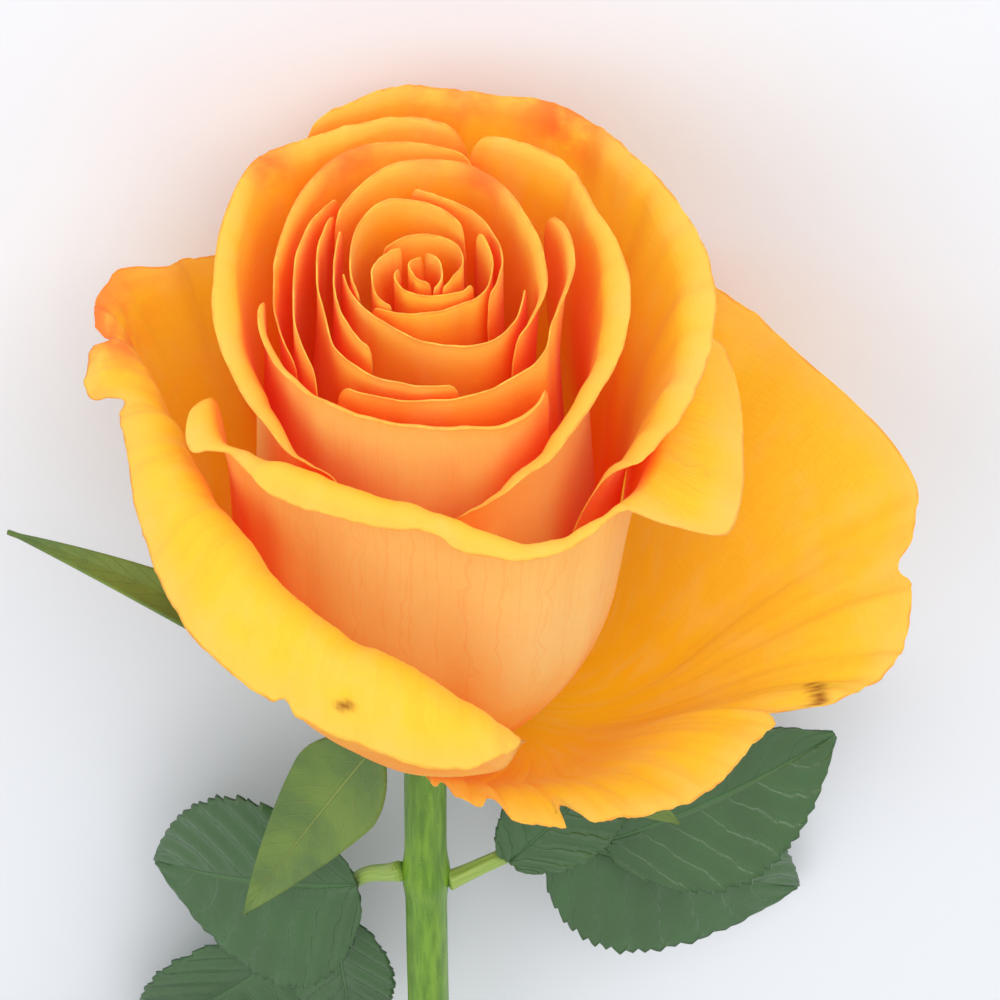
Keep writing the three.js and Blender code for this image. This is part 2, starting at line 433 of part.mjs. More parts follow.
// ---- sepals, reflexed below the bloom ----
// spring: [azimuth, distance out from the hip's radius, height] of a sepal's base. The tips
// move outward with the bloom, which the left one passes under.
const SEPALS = [
  { name: 'sepal_front', spring: [-48, 1.2, -8.8], to: [-25, -1, -48], face: [-0.45, -0.8, 0.35],
    width: 12.4, bow: 1.5, droop: 1, cup: 0.35, widest: 0.2 },
  { name: 'sepal_left', spring: [-108, 2.6, -8.2], to: [-50.2, 9, 12.4], face: [-0.15, -0.45, 0.9],
    width: 6.6, bow: 4.6, droop: 0, cup: 0.3, widest: 0.3 },
  { name: 'sepal_right', spring: [64, 1.9, -8.8], to: [32, -3, -27], face: [0.5, -0.6, 0.7],
    width: 10, bow: 2, droop: 3, cup: 0.3, widest: 0.25 },
  { name: 'sepal_back_left', spring: [-155, 2.3, -8.6], to: [-14, 19, -38], face: [-0.3, 0.8, 0.5],
    width: 10, bow: 2, droop: 3, cup: 0.3, widest: 0.25 },
  { name: 'sepal_back_right', spring: [145, 2.3, -8.6], to: [19, 18, -35], face: [0.4, 0.8, 0.5],
    width: 10, bow: 2, droop: 3, cup: 0.3, widest: 0.25 },
];
for (const sepal of SEPALS) {
  const [azimuth, out, height] = sepal.spring;
  const from = new THREE.Vector3().setFromCylindricalCoords(HIP_RADIUS + out, radians(180 - azimuth), 0);
  const [tipX, tipY, tipZ] = sepal.to;
  const to = [tipX * BLOOM_SPREAD, tipY * BLOOM_SPREAD, tipZ * BLOOM_HEIGHT];
  const shape = { ...sepal, from: [from.x, from.z, height], to, sections: 9, teeth: false,
    thickness: SEPAL_THICKNESS, taper: 1.2 };
  add(sepal.name, bladeGeometry(shape), SEPAL_GREEN());
}

// ---- leaves: a petiole that starts on the stem, and leaflets that start on the petiole ----
// `side` is the flank of the stem, `height` the level there; `petiole` lists the later points
// relative to the first one. A leaflet is [petiole point, tip, width, face, over], where `over`
// says whether it springs from the upper (1) or under (-1) side of the petiole.
const LEAVES = [
  { name: 'leaf_left', side: -1, height: -40,
    petiole: [[-3.2, 2.2, -3.2], [-7.4, 4.8, -11.6], [-10.8, 7.4, -21]],
    leaflets: [[3, [-35, 13, -53], 23, [0.1, -0.95, 0.1], 0],
      [1, [-32, 11.4, -14], 30, [-0.1, -0.95, 0.3], 1], [2, [-6, 7, -45], 14, [0, -0.95, 0.1], 1]] },
  { name: 'leaf_right', side: 1, height: -40.5,
    petiole: [[5.2, 2.8, 0.2], [11, 5.4, -0.6], [17, 7, -2.6]],
    leaflets: [[3, [47.5, 8.6, 15], 25, [0.1, -0.9, 0.3], 0], [2, [45.5, 16, -25], 27, [0.1, -0.95, 0.2], -1],
      [1, [23, 5, 22], 14, [0.1, -0.85, 0.5], 1]] },
  { name: 'leaf_lower_left', side: -1, height: -98,
    petiole: [[-11, 3, -9], [-22, 6, -18], [-33, 8, -27]],
    leaflets: [[3, [-66, 7, -42], 26, [0, -1, 0.12], 0], [2, [-50, 7, -3], 22, [0, -1, 0.12], 1],
      [2, [-28, 8.6, -54], 18, [0, -1, 0.12], 1], [1, [-30, 4, 9], 18, [0, -1, 0.12], 1],
      [1, [-10, 6, -37], 16, [0, -1, 0.12], 1]] },
  { name: 'leaf_lower_right', side: 1, height: -152,
    petiole: [[8, 1.4, -8], [19, 2, -17], [30, 2, -26]],
    leaflets: [[3, [60, -1, -42], 25, [0, -1, 0.12], 0], [2, [44, 3, -1], 22, [0, -1, 0.12], 1],
      [2, [28, 1.8, -56], 15, [0, -1, 0.12], 1], [1, [26, 2.6, 12], 17, [0, -1, 0.12], 1],
      [1, [11, -1, -34], 13, [0, -1, 0.12], 1]] },
];
for (const leaf of LEAVES) {
  const thick = (i) => PETIOLE_RADIUS * (1.3 - 0.16 * i);
  const start = stemCentre(leaf.height);
  start.x += leaf.side * (stemRadius(leaf.height) + JOIN_GAP + thick(0));
  const place = (offset) => start.clone().addScaledVector(new THREE.Vector3(...offset), LEAF_SCALE);
  const knots = [start, ...leaf.petiole.map(place)];
  const stalk = knots.map((p, i) => [...p.toArray(), thick(i)]);
  add(`${leaf.name}_petiole`, tubeGeometry(stalk, 8), PETIOLE_GREEN());
  leaf.leaflets.forEach(([knot, to, width, face, over], i) => {
    const tip = place(to);
    const away = tip.clone().sub(knots[knot]).normalize();
    const from = knots[knot].clone().addScaledVector(away, thick(knot) + JOIN_GAP + LEAFLET_STALK);
    from.y -= over * (thick(knot) + JOIN_GAP + LEAF_THICKNESS);
    const shape = { from: from.toArray(), to: tip.toArray(), width: width * LEAF_SCALE, face,
      bow: 1.5, droop: 3, cup: 0.16, widest: 0.42, taper: 1.9,
      sections: 10, teeth: true, thickness: LEAF_THICKNESS };
    add(`${leaf.name}_leaflet_${i + 1}`, bladeGeometry(shape), LEAF_GREEN());
  });
}

// ---- lay the flower down: bloom toward -Y, front of the bloom upward ----
const posed = new THREE.Group();
posed.name = 'cut_rose';
rose.rotation.set(-radians(90 - REST_TILT), 0, Math.PI, 'ZYX');
posed.add(rose);
posed.updateMatrixWorld(true);
const bounds = new THREE.Box3().setFromObject(posed, true);
const middle = bounds.getCenter(new THREE.Vector3());
posed.position.set(-middle.x, -middle.y, -bounds.min.z);
posed.updateMatrixWorld(true);

export default posed;
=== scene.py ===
import math

import bpy
import numpy as np
from mathutils import Matrix, Vector


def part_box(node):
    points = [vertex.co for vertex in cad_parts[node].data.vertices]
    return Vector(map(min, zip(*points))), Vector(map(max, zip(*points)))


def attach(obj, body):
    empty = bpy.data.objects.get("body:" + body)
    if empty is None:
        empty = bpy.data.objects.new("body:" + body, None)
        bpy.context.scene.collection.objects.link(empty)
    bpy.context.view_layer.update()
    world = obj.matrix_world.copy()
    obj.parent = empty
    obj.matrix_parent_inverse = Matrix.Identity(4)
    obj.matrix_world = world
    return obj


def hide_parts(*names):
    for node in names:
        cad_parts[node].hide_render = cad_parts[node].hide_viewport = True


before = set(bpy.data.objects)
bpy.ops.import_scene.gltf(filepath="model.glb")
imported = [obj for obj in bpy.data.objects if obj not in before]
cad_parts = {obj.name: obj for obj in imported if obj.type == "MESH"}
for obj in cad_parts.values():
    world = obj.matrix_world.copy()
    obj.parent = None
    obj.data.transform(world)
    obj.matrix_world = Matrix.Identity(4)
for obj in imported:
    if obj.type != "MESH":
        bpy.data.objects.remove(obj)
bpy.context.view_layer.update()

# ---------------------------------------------------------------- frame of the flower
# Flower frame in mm: z runs from stem to bloom, -y is the front of the bloom.
# The rose lies on its back, bloom toward -Y, tilted by REST_TILT.
REST_TILT = math.radians(6.0)
MM = 0.001
# (radius, height) outline of the CAD hip and its number of sides, which fix the flower's place
CAD_HIP = [(0, -0.5), (1.9, -0.95), (5.1, -2.2), (8.0, -4.2), (9.9, -6.5), (9.6, -7.2), (7.8, -8.6),
           (7.2, -10), (5.4, -13.5), (3.3, -16), (0, -16)]
CAD_HIP_SIDES = 24


def flower_to_world():
    s, c = math.sin(REST_TILT), math.cos(REST_TILT)
    turn = np.array([[-1, 0, 0], [0, -s, -c], [0, -c, s]])
    phi = np.linspace(0, 2 * np.pi, CAD_HIP_SIDES, endpoint=False)
    points = np.array([[r * math.sin(a), -r * math.cos(a), z] for r, z in CAD_HIP for a in phi]) @ turn.T
    middle = (points.min(0) + points.max(0)) / 2
    low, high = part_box("hip")
    shift = (np.array(low) + np.array(high)) / 2 - middle * MM
    return turn, shift


TURN, SHIFT = flower_to_world()


def to_world(points):
    return np.asarray(points, float) @ TURN.T * MM + SHIFT


# ---------------------------------------------------------------- camera
VIEW_TILT = math.radians(45)     # angle from the flower's axis
VIEW_DISTANCE = 420.0
VIEW_AIM = np.array([8.3, 0, 26.5])
PIXELS_PER_MM = 8.8              # at the aim point
FRAME = 1000                     # width of the image
SENSOR = 36

to_eye = np.array([0, -math.sin(VIEW_TILT), math.cos(VIEW_TILT)])
eye_up = np.array([0, math.cos(VIEW_TILT), math.sin(VIEW_TILT)])
camera_data = bpy.data.cameras.new("camera")
camera_data.sensor_width = SENSOR
camera_data.lens = PIXELS_PER_MM * VIEW_DISTANCE * SENSOR / FRAME
camera_data.clip_start = 0.01
camera = bpy.data.objects.new("camera", camera_data)
bpy.context.scene.collection.objects.link(camera)
axis_z = Vector(TURN @ to_eye)
axis_y = Vector(TURN @ eye_up)
pose = Matrix((axis_y.cross(axis_z), axis_y, axis_z)).transposed().to_4x4()
pose.translation = Vector(to_world(VIEW_AIM + VIEW_DISTANCE * to_eye))
camera.matrix_world = pose
bpy.context.scene.camera = camera


# ---------------------------------------------------------------- materials
def srgb(r, g, b):
    def linear(v):
        v /= 255
        return v / 12.92 if v <= 0.04045 else ((v + 0.055) / 1.055) ** 2.4
    return (linear(r), linear(g), linear(b), 1)


class Graph:
    """Small helper that wires shader nodes."""

    def __init__(self, name):
        self.material = bpy.data.materials.new(name)
        self.material.use_nodes = True
        self.tree = self.material.node_tree
        self.shader = self.tree.nodes["Principled BSDF"]
        self.output = self.tree.nodes["Material Output"]

    def put(self, socket, value):
        if isinstance(value, bpy.types.NodeSocket):
            self.tree.links.new(value, socket)
        else:
            socket.default_value = value

    def attribute(self, name, output="Fac"):
        node = self.tree.nodes.new("ShaderNodeAttribute")
        node.attribute_name = name
        return node.outputs[output]

    def math(self, operation, a, b=0.0, clamp=False):
        node = self.tree.nodes.new("ShaderNodeMath")
        node.operation = operation
        node.use_clamp = clamp
        self.put(node.inputs[0], a)
        self.put(node.inputs[1], b)
        return node.outputs[0]

    def ease(self, x, low, high):
        node = self.tree.nodes.new("ShaderNodeMapRange")
        node.interpolation_type = "SMOOTHSTEP"
        self.put(node.inputs["Value"], x)
        node.inputs["From Min"].default_value = min(low, high)
        node.inputs["From Max"].default_value = max(low, high)
        node.inputs["To Min"].default_value = 0 if low < high else 1
        node.inputs["To Max"].default_value = 1 if low < high else 0
        return node.outputs["Result"]

    def mix(self, factor, a, b):
        node = self.tree.nodes.new("ShaderNodeMix")
        node.data_type = "RGBA"
        self.put(node.inputs[0], factor)
        self.put(node.inputs[6], a)
        self.put(node.inputs[7], b)
        return node.outputs[2]

    def ramp(self, x, stops):
        node = self.tree.nodes.new("ShaderNodeValToRGB")
        node.color_ramp.interpolation = "EASE"
        elements = node.color_ramp.elements
        while len(elements) < len(stops):
            elements.new(0.5)
        for element, (position, color) in zip(elements, stops):
            element.position = position
            element.color = color
        self.put(node.inputs[0], x)
        return node.outputs[0]

    def noise(self, vector, scale, detail=3.0, stretch=(1, 1, 1)):
        mapping = self.tree.nodes.new("ShaderNodeMapping")
        mapping.inputs["Scale"].default_value = stretch
        self.put(mapping.inputs["Vector"], vector)
        node = self.tree.nodes.new("ShaderNodeTexNoise")
        node.inputs["Scale"].default_value = scale
        node.inputs["Detail"].default_value = detail
        self.put(node.inputs["Vector"], mapping.outputs[0])
        return node.outputs[0]

    def openness(self, distance):
        """1 on open surfaces, falling toward 0 deep between neighbours; it masks the painted shade in the
        folds.
        """
        node = self.tree.nodes.new("ShaderNodeAmbientOcclusion")
        node.samples = 2
        node.inputs["Distance"].default_value = distance
        return node.outputs["AO"]

    def bump(self, height, distance, strength=1.0):
        node = self.tree.nodes.new("ShaderNodeBump")
        node.inputs["Strength"].default_value = strength
        node.inputs["Distance"].default_value = distance
        self.put(node.inputs["Height"], height)
        self.tree.links.new(node.outputs[0], self.shader.inputs["Normal"])
        return node.outputs[0]

    def translucent(self, amount, color, normal=None):
        node = self.tree.nodes.new("ShaderNodeBsdfTranslucent")
        self.put(node.inputs["Color"], color)
        if normal is not None:
            self.put(node.inputs["Normal"], normal)
        mixer = self.tree.nodes.new("ShaderNodeMixShader")
        mixer.inputs[0].default_value = amount
        self.tree.links.new(self.shader.outputs[0], mixer.inputs[1])
        self.tree.links.new(node.outputs[0], mixer.inputs[2])
        self.tree.links.new(mixer.outputs[0], self.output.inputs["Surface"])


def branching_veins(g, across, rise, wobble, levels):
    """Lines that fan out from the base and about double in number at each (count, start, width)."""
    total = None
    for count, start, width in levels:
        drift = g.math("MULTIPLY", wobble, 0.9)
        phase = g.math("FRACT", g.math("ADD", g.math("MULTIPLY", across, count), drift))
        off = g.math("ABSOLUTE", g.math("SUBTRACT", phase, 0.5))
        line = g.math("MULTIPLY", g.ease(off, width, 0.0), g.ease(rise, start, start + 0.15))
        total = line if total is None else g.math("MAXIMUM", total, line)
    return total


# deep red-orange of the petal bases: partly the petals' own colour there and partly painted shade, standing
# in for the saturated shade deep inside the bloom
DEEP = srgb(255, 96, 0)
ORANGE = srgb(255, 178, 12)
PEACH = srgb(255, 240, 152)
APRICOT = srgb(255, 216, 70)
GOLD = srgb(255, 230, 34)
YELLOW = srgb(255, 240, 64)
PALE = srgb(255, 235, 104)
BARK = srgb(150, 92, 34)
PAINTED_GLOW = 0.08                      # strength of the painted glow: the petals emit light, standing in for light that the thin petals pass on to each other
CREASE_SHADE_REACH = 0.008               # metres within which a neighbour brings painted shade into a fold
THROUGH = 0.42                   # share of light that goes through a petal
VEINS = [(5, 0.15, 0.03), (11, 0.42, 0.045), (23, 0.6, 0.06), (47, 0.74, 0.08)]


def petal_material(name, outer, inner):
    """`outer` and `inner` are color ramps from the base of the petal to its rim."""
    g = Graph(name)
    rise, side = g.attribute("rise"), g.attribute("side")
    inside, rim = g.attribute("inside"), g.attribute("rim")
    surface = g.attribute("surface", "Vector")
    cloud = g.math("SUBTRACT", g.noise(surface, 0.09, 2), 0.5)
    level = g.math("ADD", rise, g.math("MULTIPLY", cloud, 0.16))
    outer_color = g.ramp(level, outer)
    edge = g.math("MULTIPLY", g.ease(g.math("ABSOLUTE", side), 0.35, 1.0), 0.5)
    outer_color = g.mix(edge, outer_color, srgb(255, 158, 26))
    inner_color = g.ramp(level, inner)
    color = g.mix(inside, outer_color, inner_color)
    pale = g.math("MULTIPLY", g.ease(rim, 5.0, 0.2), g.math("ADD", 0.45, g.math("MULTIPLY", inside, 0.35)))
    color = g.mix(pale, color, PALE)
    wobble = g.noise(surface, 0.16, 2)
    lines = branching_veins(g, side, rise, wobble, VEINS)
    lines = g.math("MULTIPLY", lines, g.attribute("veined"))
    color = g.mix(g.math("MULTIPLY", lines, 0.32), color, srgb(252, 172, 66))
    mottle = g.noise(surface, 0.8, 4, (1, 0.45, 1))
    color = g.mix(g.math("MULTIPLY", g.ease(mottle, 0.42, 0.75), 0.12), color, srgb(255, 204, 40))
    bleach = g.noise(surface, 0.22, 3, (1, 0.6, 1))
    color = g.mix(g.math("MULTIPLY", g.ease(bleach, 0.42, 0.75), 0.3), color, srgb(255, 244, 140))
    flush = g.ease(g.noise(surface, 0.22, 4), 0.25, 0.65)
    blush = g.math("MULTIPLY", g.math("MULTIPLY", g.attribute("blush"), flush), 0.95)
    color = g.mix(blush, color, srgb(252, 136, 66))
    fringe = g.math("MULTIPLY", g.ease(rim, 0.4, 0.05), g.ease(g.noise(surface, 0.5, 2), 0.35, 0.65))
    color = g.mix(g.math("MULTIPLY", fringe, 0.5), color, srgb(236, 150, 66))
    color = g.mix(g.attribute("scar"), color, BARK)
    # painted shade in the folds: where neighbouring petals are close the colour is pushed to red-orange,
    # standing in for the saturated light deep between the petals
    fold = g.ease(g.openness(CREASE_SHADE_REACH), 0.2, 0.02)
    color = g.mix(g.math("MULTIPLY", fold, 0.85), color, srgb(255, 66, 0))
    g.put(g.shader.inputs["Base Color"], color)
    g.shader.inputs["Roughness"].default_value = 0.5
    g.shader.inputs["Specular IOR Level"].default_value = 0.22
    g.shader.inputs["Sheen Weight"].default_value = 0.1
    # painted glow: the petals emit yellow-orange light, red-orange in the folds, though they are no lamp
    painted_glow_color = g.mix(fold, g.mix(0.5, color, srgb(236, 255, 0)), srgb(255, 70, 0))
    g.put(g.shader.inputs["Emission Color"], painted_glow_color)
    g.shader.inputs["Emission Strength"].default_value = PAINTED_GLOW
    crinkle = g.noise(surface, 1.3, 5, (0.55, 1.6, 1))
    height = g.math("SUBTRACT", g.math("MULTIPLY", crinkle, 0.45), g.math("MULTIPLY", lines, 0.15))
    normal = g.bump(height, 0.0003, 0.4)
    g.translucent(THROUGH, g.mix(0.1, color, srgb(255, 226, 60)), normal)
    return g.material


LOOKS = {
    "petal_heart": petal_material(
        "petal_heart",
        [(0.0, DEEP), (0.7, ORANGE), (0.9, APRICOT), (1.0, YELLOW)],
        [(0.0, DEEP), (0.75, srgb(255, 214, 20)), (0.92, GOLD), (1.0, YELLOW)]),
    "petal_inner": petal_material(
        "petal_inner",
        [(0.0, DEEP), (0.6, ORANGE), (0.85, APRICOT), (1.0, srgb(255, 226, 90))],
        [(0.0, DEEP), (0.55, srgb(255, 210, 12)), (0.8, GOLD), (1.0, YELLOW)]),
    "petal_cup": petal_material(
        "petal_cup",
        [(0.0, DEEP), (0.22, ORANGE), (0.6, PEACH), (1.0, srgb(255, 232, 128))],
        [(0.0, DEEP), (0.4, srgb(255, 222, 16)), (0.65, GOLD), (1.0, YELLOW)]),
    "petal_outer": petal_material(
        "petal_outer",
        [(0.0, ORANGE), (0.4, APRICOT), (1.0, srgb(255, 226, 90))],
        [(0.0, srgb(255, 226, 30)), (0.25, GOLD), (0.6, YELLOW), (1.0, YELLOW)]),
}


def leaf_material(name, dark, light, vein, rough, count):
    g = Graph(name)
    along, across = g.attribute("along"), g.attribute("across")
    upper = g.attribute("upper")
    surface = g.attribute("surface", "Vector")
    tone = g.mix(g.ease(g.noise(surface, 0.12, 3), 0.3, 0.7), dark, light)
    reach = g.math("ABSOLUTE", across)
    phase = g.math("SUBTRACT", g.math("MULTIPLY", along, count), g.math("MULTIPLY", reach, 1.6))
    wobble = g.math("MULTIPLY", g.noise(surface, 0.3, 2), 0.5)
    off = g.math("ABSOLUTE", g.math("SUBTRACT", g.math("FRACT", g.math("ADD", phase, wobble)), 0.5))
    lateral = g.ease(off, 0.07, 0.0)
    midrib = g.ease(reach, 0.05, 0.015)
    mesh = g.noise(surface, 1.6, 4)
    lines = g.math("MAXIMUM", g.math("MULTIPLY", lateral, 0.5), midrib)
    color = g.mix(g.math("MULTIPLY", lines, 0.55), tone, vein)
    color = g.mix(g.math("MULTIPLY", g.ease(mesh, 0.5, 0.7), 0.25), color, light)
    color = g.mix(g.math("MULTIPLY", g.math("SUBTRACT", 1.0, upper), 0.5), color, srgb(96, 132, 84))
    g.put(g.shader.inputs["Base Color"], color)
    g.shader.inputs["Roughness"].default_value = rough
    g.shader.inputs["Specular IOR Level"].default_value = 0.5
    height = g.math("SUBTRACT", g.math("MULTIPLY", mesh, 0.35), g.math("MULTIPLY", lines, 0.6))
    normal = g.bump(height, 0.0004, 0.6)
    g.translucent(0.1, g.mix(0.4, color, srgb(110, 170, 40)), normal)
    return g.material


PRICKLE_TIP = srgb(150, 90, 60)


def stalk_material(name, base, light, red):
    g = Graph(name)
    surface = g.attribute("surface", "Vector")
    streak = g.noise(surface, 1.2, 4, (1, 1, 0.12))
    color = g.mix(g.ease(streak, 0.3, 0.7), base, light)
    color = g.mix(g.math("MULTIPLY", g.attribute("tip"), 0.85), color, red)
    speck = g.ease(g.noise(surface, 2.6, 2), 0.66, 0.74)
    color = g.mix(g.math("MULTIPLY", speck, 0.35), color, srgb(190, 205, 120))
    g.put(g.shader.inputs["Base Color"], color)
    g.shader.inputs["Roughness"].default_value = 0.42
    g.shader.inputs["Subsurface Weight"].default_value = 0.15
    g.shader.inputs["Subsurface Radius"].default_value = (0.001, 0.002, 0.0005)
    g.bump(streak, 0.0003, 0.4)
    return g.material


LOOKS["leaf_green"] = leaf_material(
    "leaf_green", srgb(20, 58, 32), srgb(34, 82, 42), srgb(70, 122, 66), 0.3, 8)
LOOKS["sepal_green"] = leaf_material(
    "sepal_green", srgb(88, 112, 16), srgb(138, 160, 32), srgb(182, 188, 84), 0.6, 14)
LOOKS["stem_green"] = stalk_material("stem_green", srgb(88, 134, 24), srgb(122, 166, 40), PRICKLE_TIP)
LOOKS["petiole_green"] = stalk_material(
    "petiole_green", srgb(136, 172, 70), srgb(176, 202, 104), PRICKLE_TIP)


# ---------------------------------------------------------------- mesh helpers
def build(name, points, faces, attributes, look, node):
    mesh = bpy.data.meshes.new(name)
    mesh.from_pydata([tuple(p) for p in to_world(points)], [], faces)
    for key, values in attributes.items():
        values = np.asarray(values, np.float32)
        if values.ndim == 2:
            layer = mesh.attributes.new(key, "FLOAT_VECTOR", "POINT")
            layer.data.foreach_set("vector", values.ravel())
        else:
            layer = mesh.attributes.new(key, "FLOAT", "POINT")
            layer.data.foreach_set("value", values)
    mesh.polygons.foreach_set("use_smooth", [True] * len(mesh.polygons))
    mesh.materials.append(LOOKS[look])
    mesh.update()
    piece = bpy.data.objects.new(name, mesh)
    bpy.context.scene.collection.objects.link(piece)
    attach(piece, "root")
    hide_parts(node)
    return piece


def normals(grid):
    n = np.cross(np.gradient(grid, axis=1), np.gradient(grid, axis=0))
    return n / (np.linalg.norm(n, axis=-1, keepdims=True) + 1e-12)


def shell(grid, thickness, attributes, flag):
    """Closed shell around a grid; `flag` is 1 on the first side and 0 on the second."""
    rows, cols, _ = grid.shape
    n = normals(grid)
    half = np.asarray(thickness)[..., None] / 2
    points = np.concatenate([(grid + n * half).reshape(-1, 3), (grid - n * half).reshape(-1, 3)])
    data = {k: np.concatenate([v.reshape(rows * cols, *v.shape[2:])] * 2) for k, v in attributes.items()}
    data[flag] = np.repeat([1.0, 0.0], rows * cols)
    size = rows * cols
    ids = np.arange(size).reshape(rows, cols)
    a, b, c, d = ids[:-1, :-1].ravel(), ids[:-1, 1:].ravel(), ids[1:, 1:].ravel(), ids[1:, :-1].ravel()
    faces = [np.stack([a, b, c, d], 1), np.stack([a, d, c, b], 1) + size]
    for line, flip in ((ids[0], False), (ids[-1], True), (ids[:, 0], True), (ids[:, -1], False)):
        p, q = line[:-1], line[1:]
        wall = np.stack([p, p + size, q + size, q], 1)
        faces.append(wall[:, ::-1] if flip else wall)
    return points, np.concatenate(faces).tolist(), data


def station(stations, column, x):
    """Monotone cubic through one column of the stations."""
    s = np.array([row[0] for row in stations], float)
    y = np.array([row[column] for row in stations], float)
    h = np.diff(s)
    d = np.diff(y) / h
    m = np.empty_like(y)
    m[0], m[-1] = d[0], d[-1]
    for i in range(1, len(s) - 1):
        if d[i - 1] * d[i] <= 0:
            m[i] = 0
        else:
            a, b = 2 * h[i] + h[i - 1], h[i] + 2 * h[i - 1]
            m[i] = (a + b) / (a / d[i - 1] + b / d[i])
    k = np.clip(np.searchsorted(s, x) - 1, 0, len(h) - 1)
    t = (x - s[k]) / h[k]
    return ((2 * t**3 - 3 * t**2 + 1) * y[k] + (t**3 - 2 * t**2 + t) * h[k] * m[k]
            + (3 * t**2 - 2 * t**3) * y[k + 1] + (t**3 - t**2) * h[k] * m[k + 1])


def smooth(low, high, x):
    t = np.clip((x - low) / (high - low), 0, 1)
    return t * t * (3 - 2 * t)


def waves(x, seed, octaves=4):
    """Smooth irregular wave with zero mean, about -1 to 1."""
    random = np.random.default_rng(seed)
    total = np.zeros_like(x, dtype=float)
    for k in range(octaves):
        total += np.sin(x * 1.9**k + random.uniform(0, 6.3)) / 1.6**k
    return total / 1.9


# ---------------------------------------------------------------- petals
# base (radius, height), flare; crest rows are (azimuth, radius, height, lean, roll, lip).
# corner is (share of the half width rounded off, drop of the end), fold the radius of the lip's turn,
# belly how far the sweep keeps its end directions, ruffle the size in mm of the waves at the rim,
# veined how much the veins show. cuts are (azimuth, width, depth) notches, blush rows are
# (azimuth, width, depth from the rim, strength) of pink flush, and scars are
# (azimuth, depth from the rim, length, slant) thin brown lines.
PETALS = {}


def petal(name, look, base, flare, crest, **more):
    PETALS[name] = dict(look=look, base=base, flare=flare, crest=sorted(crest), **more)


petal("petal_heart_1", "petal_heart", (0.6, 0), 2,
      [(-185, 1.9, 61.4, 0, 0, 0), (-110, 1.5, 61.5, 0, 0, 0), (-75, 1, 61, 0, 0, 0),
       (10, 1.2, 60.7, 0, 0, 0), (38, 1.9, 60.4, 0, 0, 0)],
      corner=(0.12, 4))
petal("petal_heart_2", "petal_heart", (1.1, -0.1), 4,
      [(28, 2.4, 60.4, 0, 0, 0), (66, 2.3, 60.9, 0, 0, 0), (100, 2.1, 61.5, 0, 0, 0),
       (140, 2.1, 61.8, 0, 0, 0), (176, 2.4, 61.6, 0, 0, 0)],
      corner=(0.1, 4))
petal("petal_heart_3", "petal_heart", (1.6, -0.2), 7,
      [(44, 2.9, 60.3, 0, 0, 0), (82, 3.4, 60.9, 0, 0, 0), (104, 4.3, 61.2, 0, 5, 0.3),
       (130, 4.8, 61.7, 0, 15, 0.4), (170, 4.6, 61.9, 0, 15, 0.5), (200, 4.7, 61.9, 0, 10, 0.4),
       (238, 5.4, 61.5, 0, 0, 0)],
      corner=(0.1, 4))
petal("petal_heart_4", "petal_heart", (1.9, -0.3), 7,
      [(-104, 2.3, 61.2, 0, 0, 0), (-77, 3, 60.9, 0, 0, 0), (-60, 2.8, 60.2, 0, 5, 0.2),
       (-8, 2.3, 59.8, 0, 10, 0.2), (57, 4, 59.7, 0, 10, 0.2), (74, 5.2, 60.1, 0, 0, 0),
       (84, 5.6, 60.8, 0, 0, 0)],
      corner=(0.1, 4))
petal("petal_heart_5", "petal_heart", (1.8, -0.4), 7,
      [(220, 3.3, 62, 0, 0, 0.2), (225, 3.5, 62, 0, 5, 0.2), (248, 4.5, 61.6, 0, 8, 0.3),
       (279, 5.6, 61, 0, 8, 0.3), (299, 5.7, 60.3, 0, 0, 0.2), (322, 5, 59.4, 0, 0, 0)],
      corner=(0.1, 4))
petal("petal_heart_6", "petal_heart", (3.1, -0.5), 12,
      [(-60, 6.7, 59.4, 0, 0, 0), (-20, 4.6, 58.8, 0, 5, 0.2), (14, 4.1, 58.7, 0, 10, 0.3),
       (54, 5, 58.7, 0, 10, 0.3), (68, 6.2, 59.2, 0, 5, 0.2), (82, 7.3, 59.9, 0, 5, 0.4),
       (97, 7.5, 61.3, 0, 20, 0.7), (112, 7.3, 62.3, 0, 25, 0.7), (128, 7.1, 63.1, 0, 20, 0.5)],
      corner=(0.1, 4))
petal("petal_inner_1", "petal_inner", (3.6, -0.7), 15,
      [(132, 6.2, 63, 0, 5, 0.4), (140, 6.3, 63.2, 0, 10, 0.5), (160, 6.8, 63.5, 0, 20, 0.6),
       (182, 7.7, 63.7, 0, 20, 0.6), (208, 9.1, 63.3, 0, 20, 0.8), (232, 8.5, 62.7, 0, 15, 0.8),
       (257, 7.9, 62, 0, 10, 0.5), (290, 7.5, 61, 0, 0, 0), (299, 7.3, 60.5, 0, 0, 0)],
      corner=(0.1, 4))
petal("petal_inner_2", "petal_inner", (4.1, -0.9), 19,
      [(66, 7.7, 60, 0, 0, 0.2), (82, 8.2, 60.7, 0, 5, 0.3), (98, 8.5, 61.6, 0, 8, 0.4),
       (133, 8.5, 63.1, 0, 15, 0.5), (160, 8.4, 63.9, 0, 15, 0.5), (190, 9.8, 64.2, 0, 15, 0.4)],
      corner=(0.1, 4))
petal("petal_inner_3", "petal_inner", (4.6, -1.1), 23,
      [(-94, 8.6, 61.5, 0, 0, 0), (-70, 8, 60.4, 0, 0, 0.2), (-49, 7.4, 59.1, 5, 5, 0.5),
       (-20, 6.8, 57.5, 8, 15, 1), (6, 7.5, 56.9, 10, 25, 1.2), (31, 9.3, 56.9, 10, 25, 1.2),
       (48, 10.6, 57.4, 8, 20, 1), (65, 11.3, 58.7, 5, 10, 0.6), (86, 11.2, 60.5, 0, 5, 0.3)],
      corner=(0.1, 4))
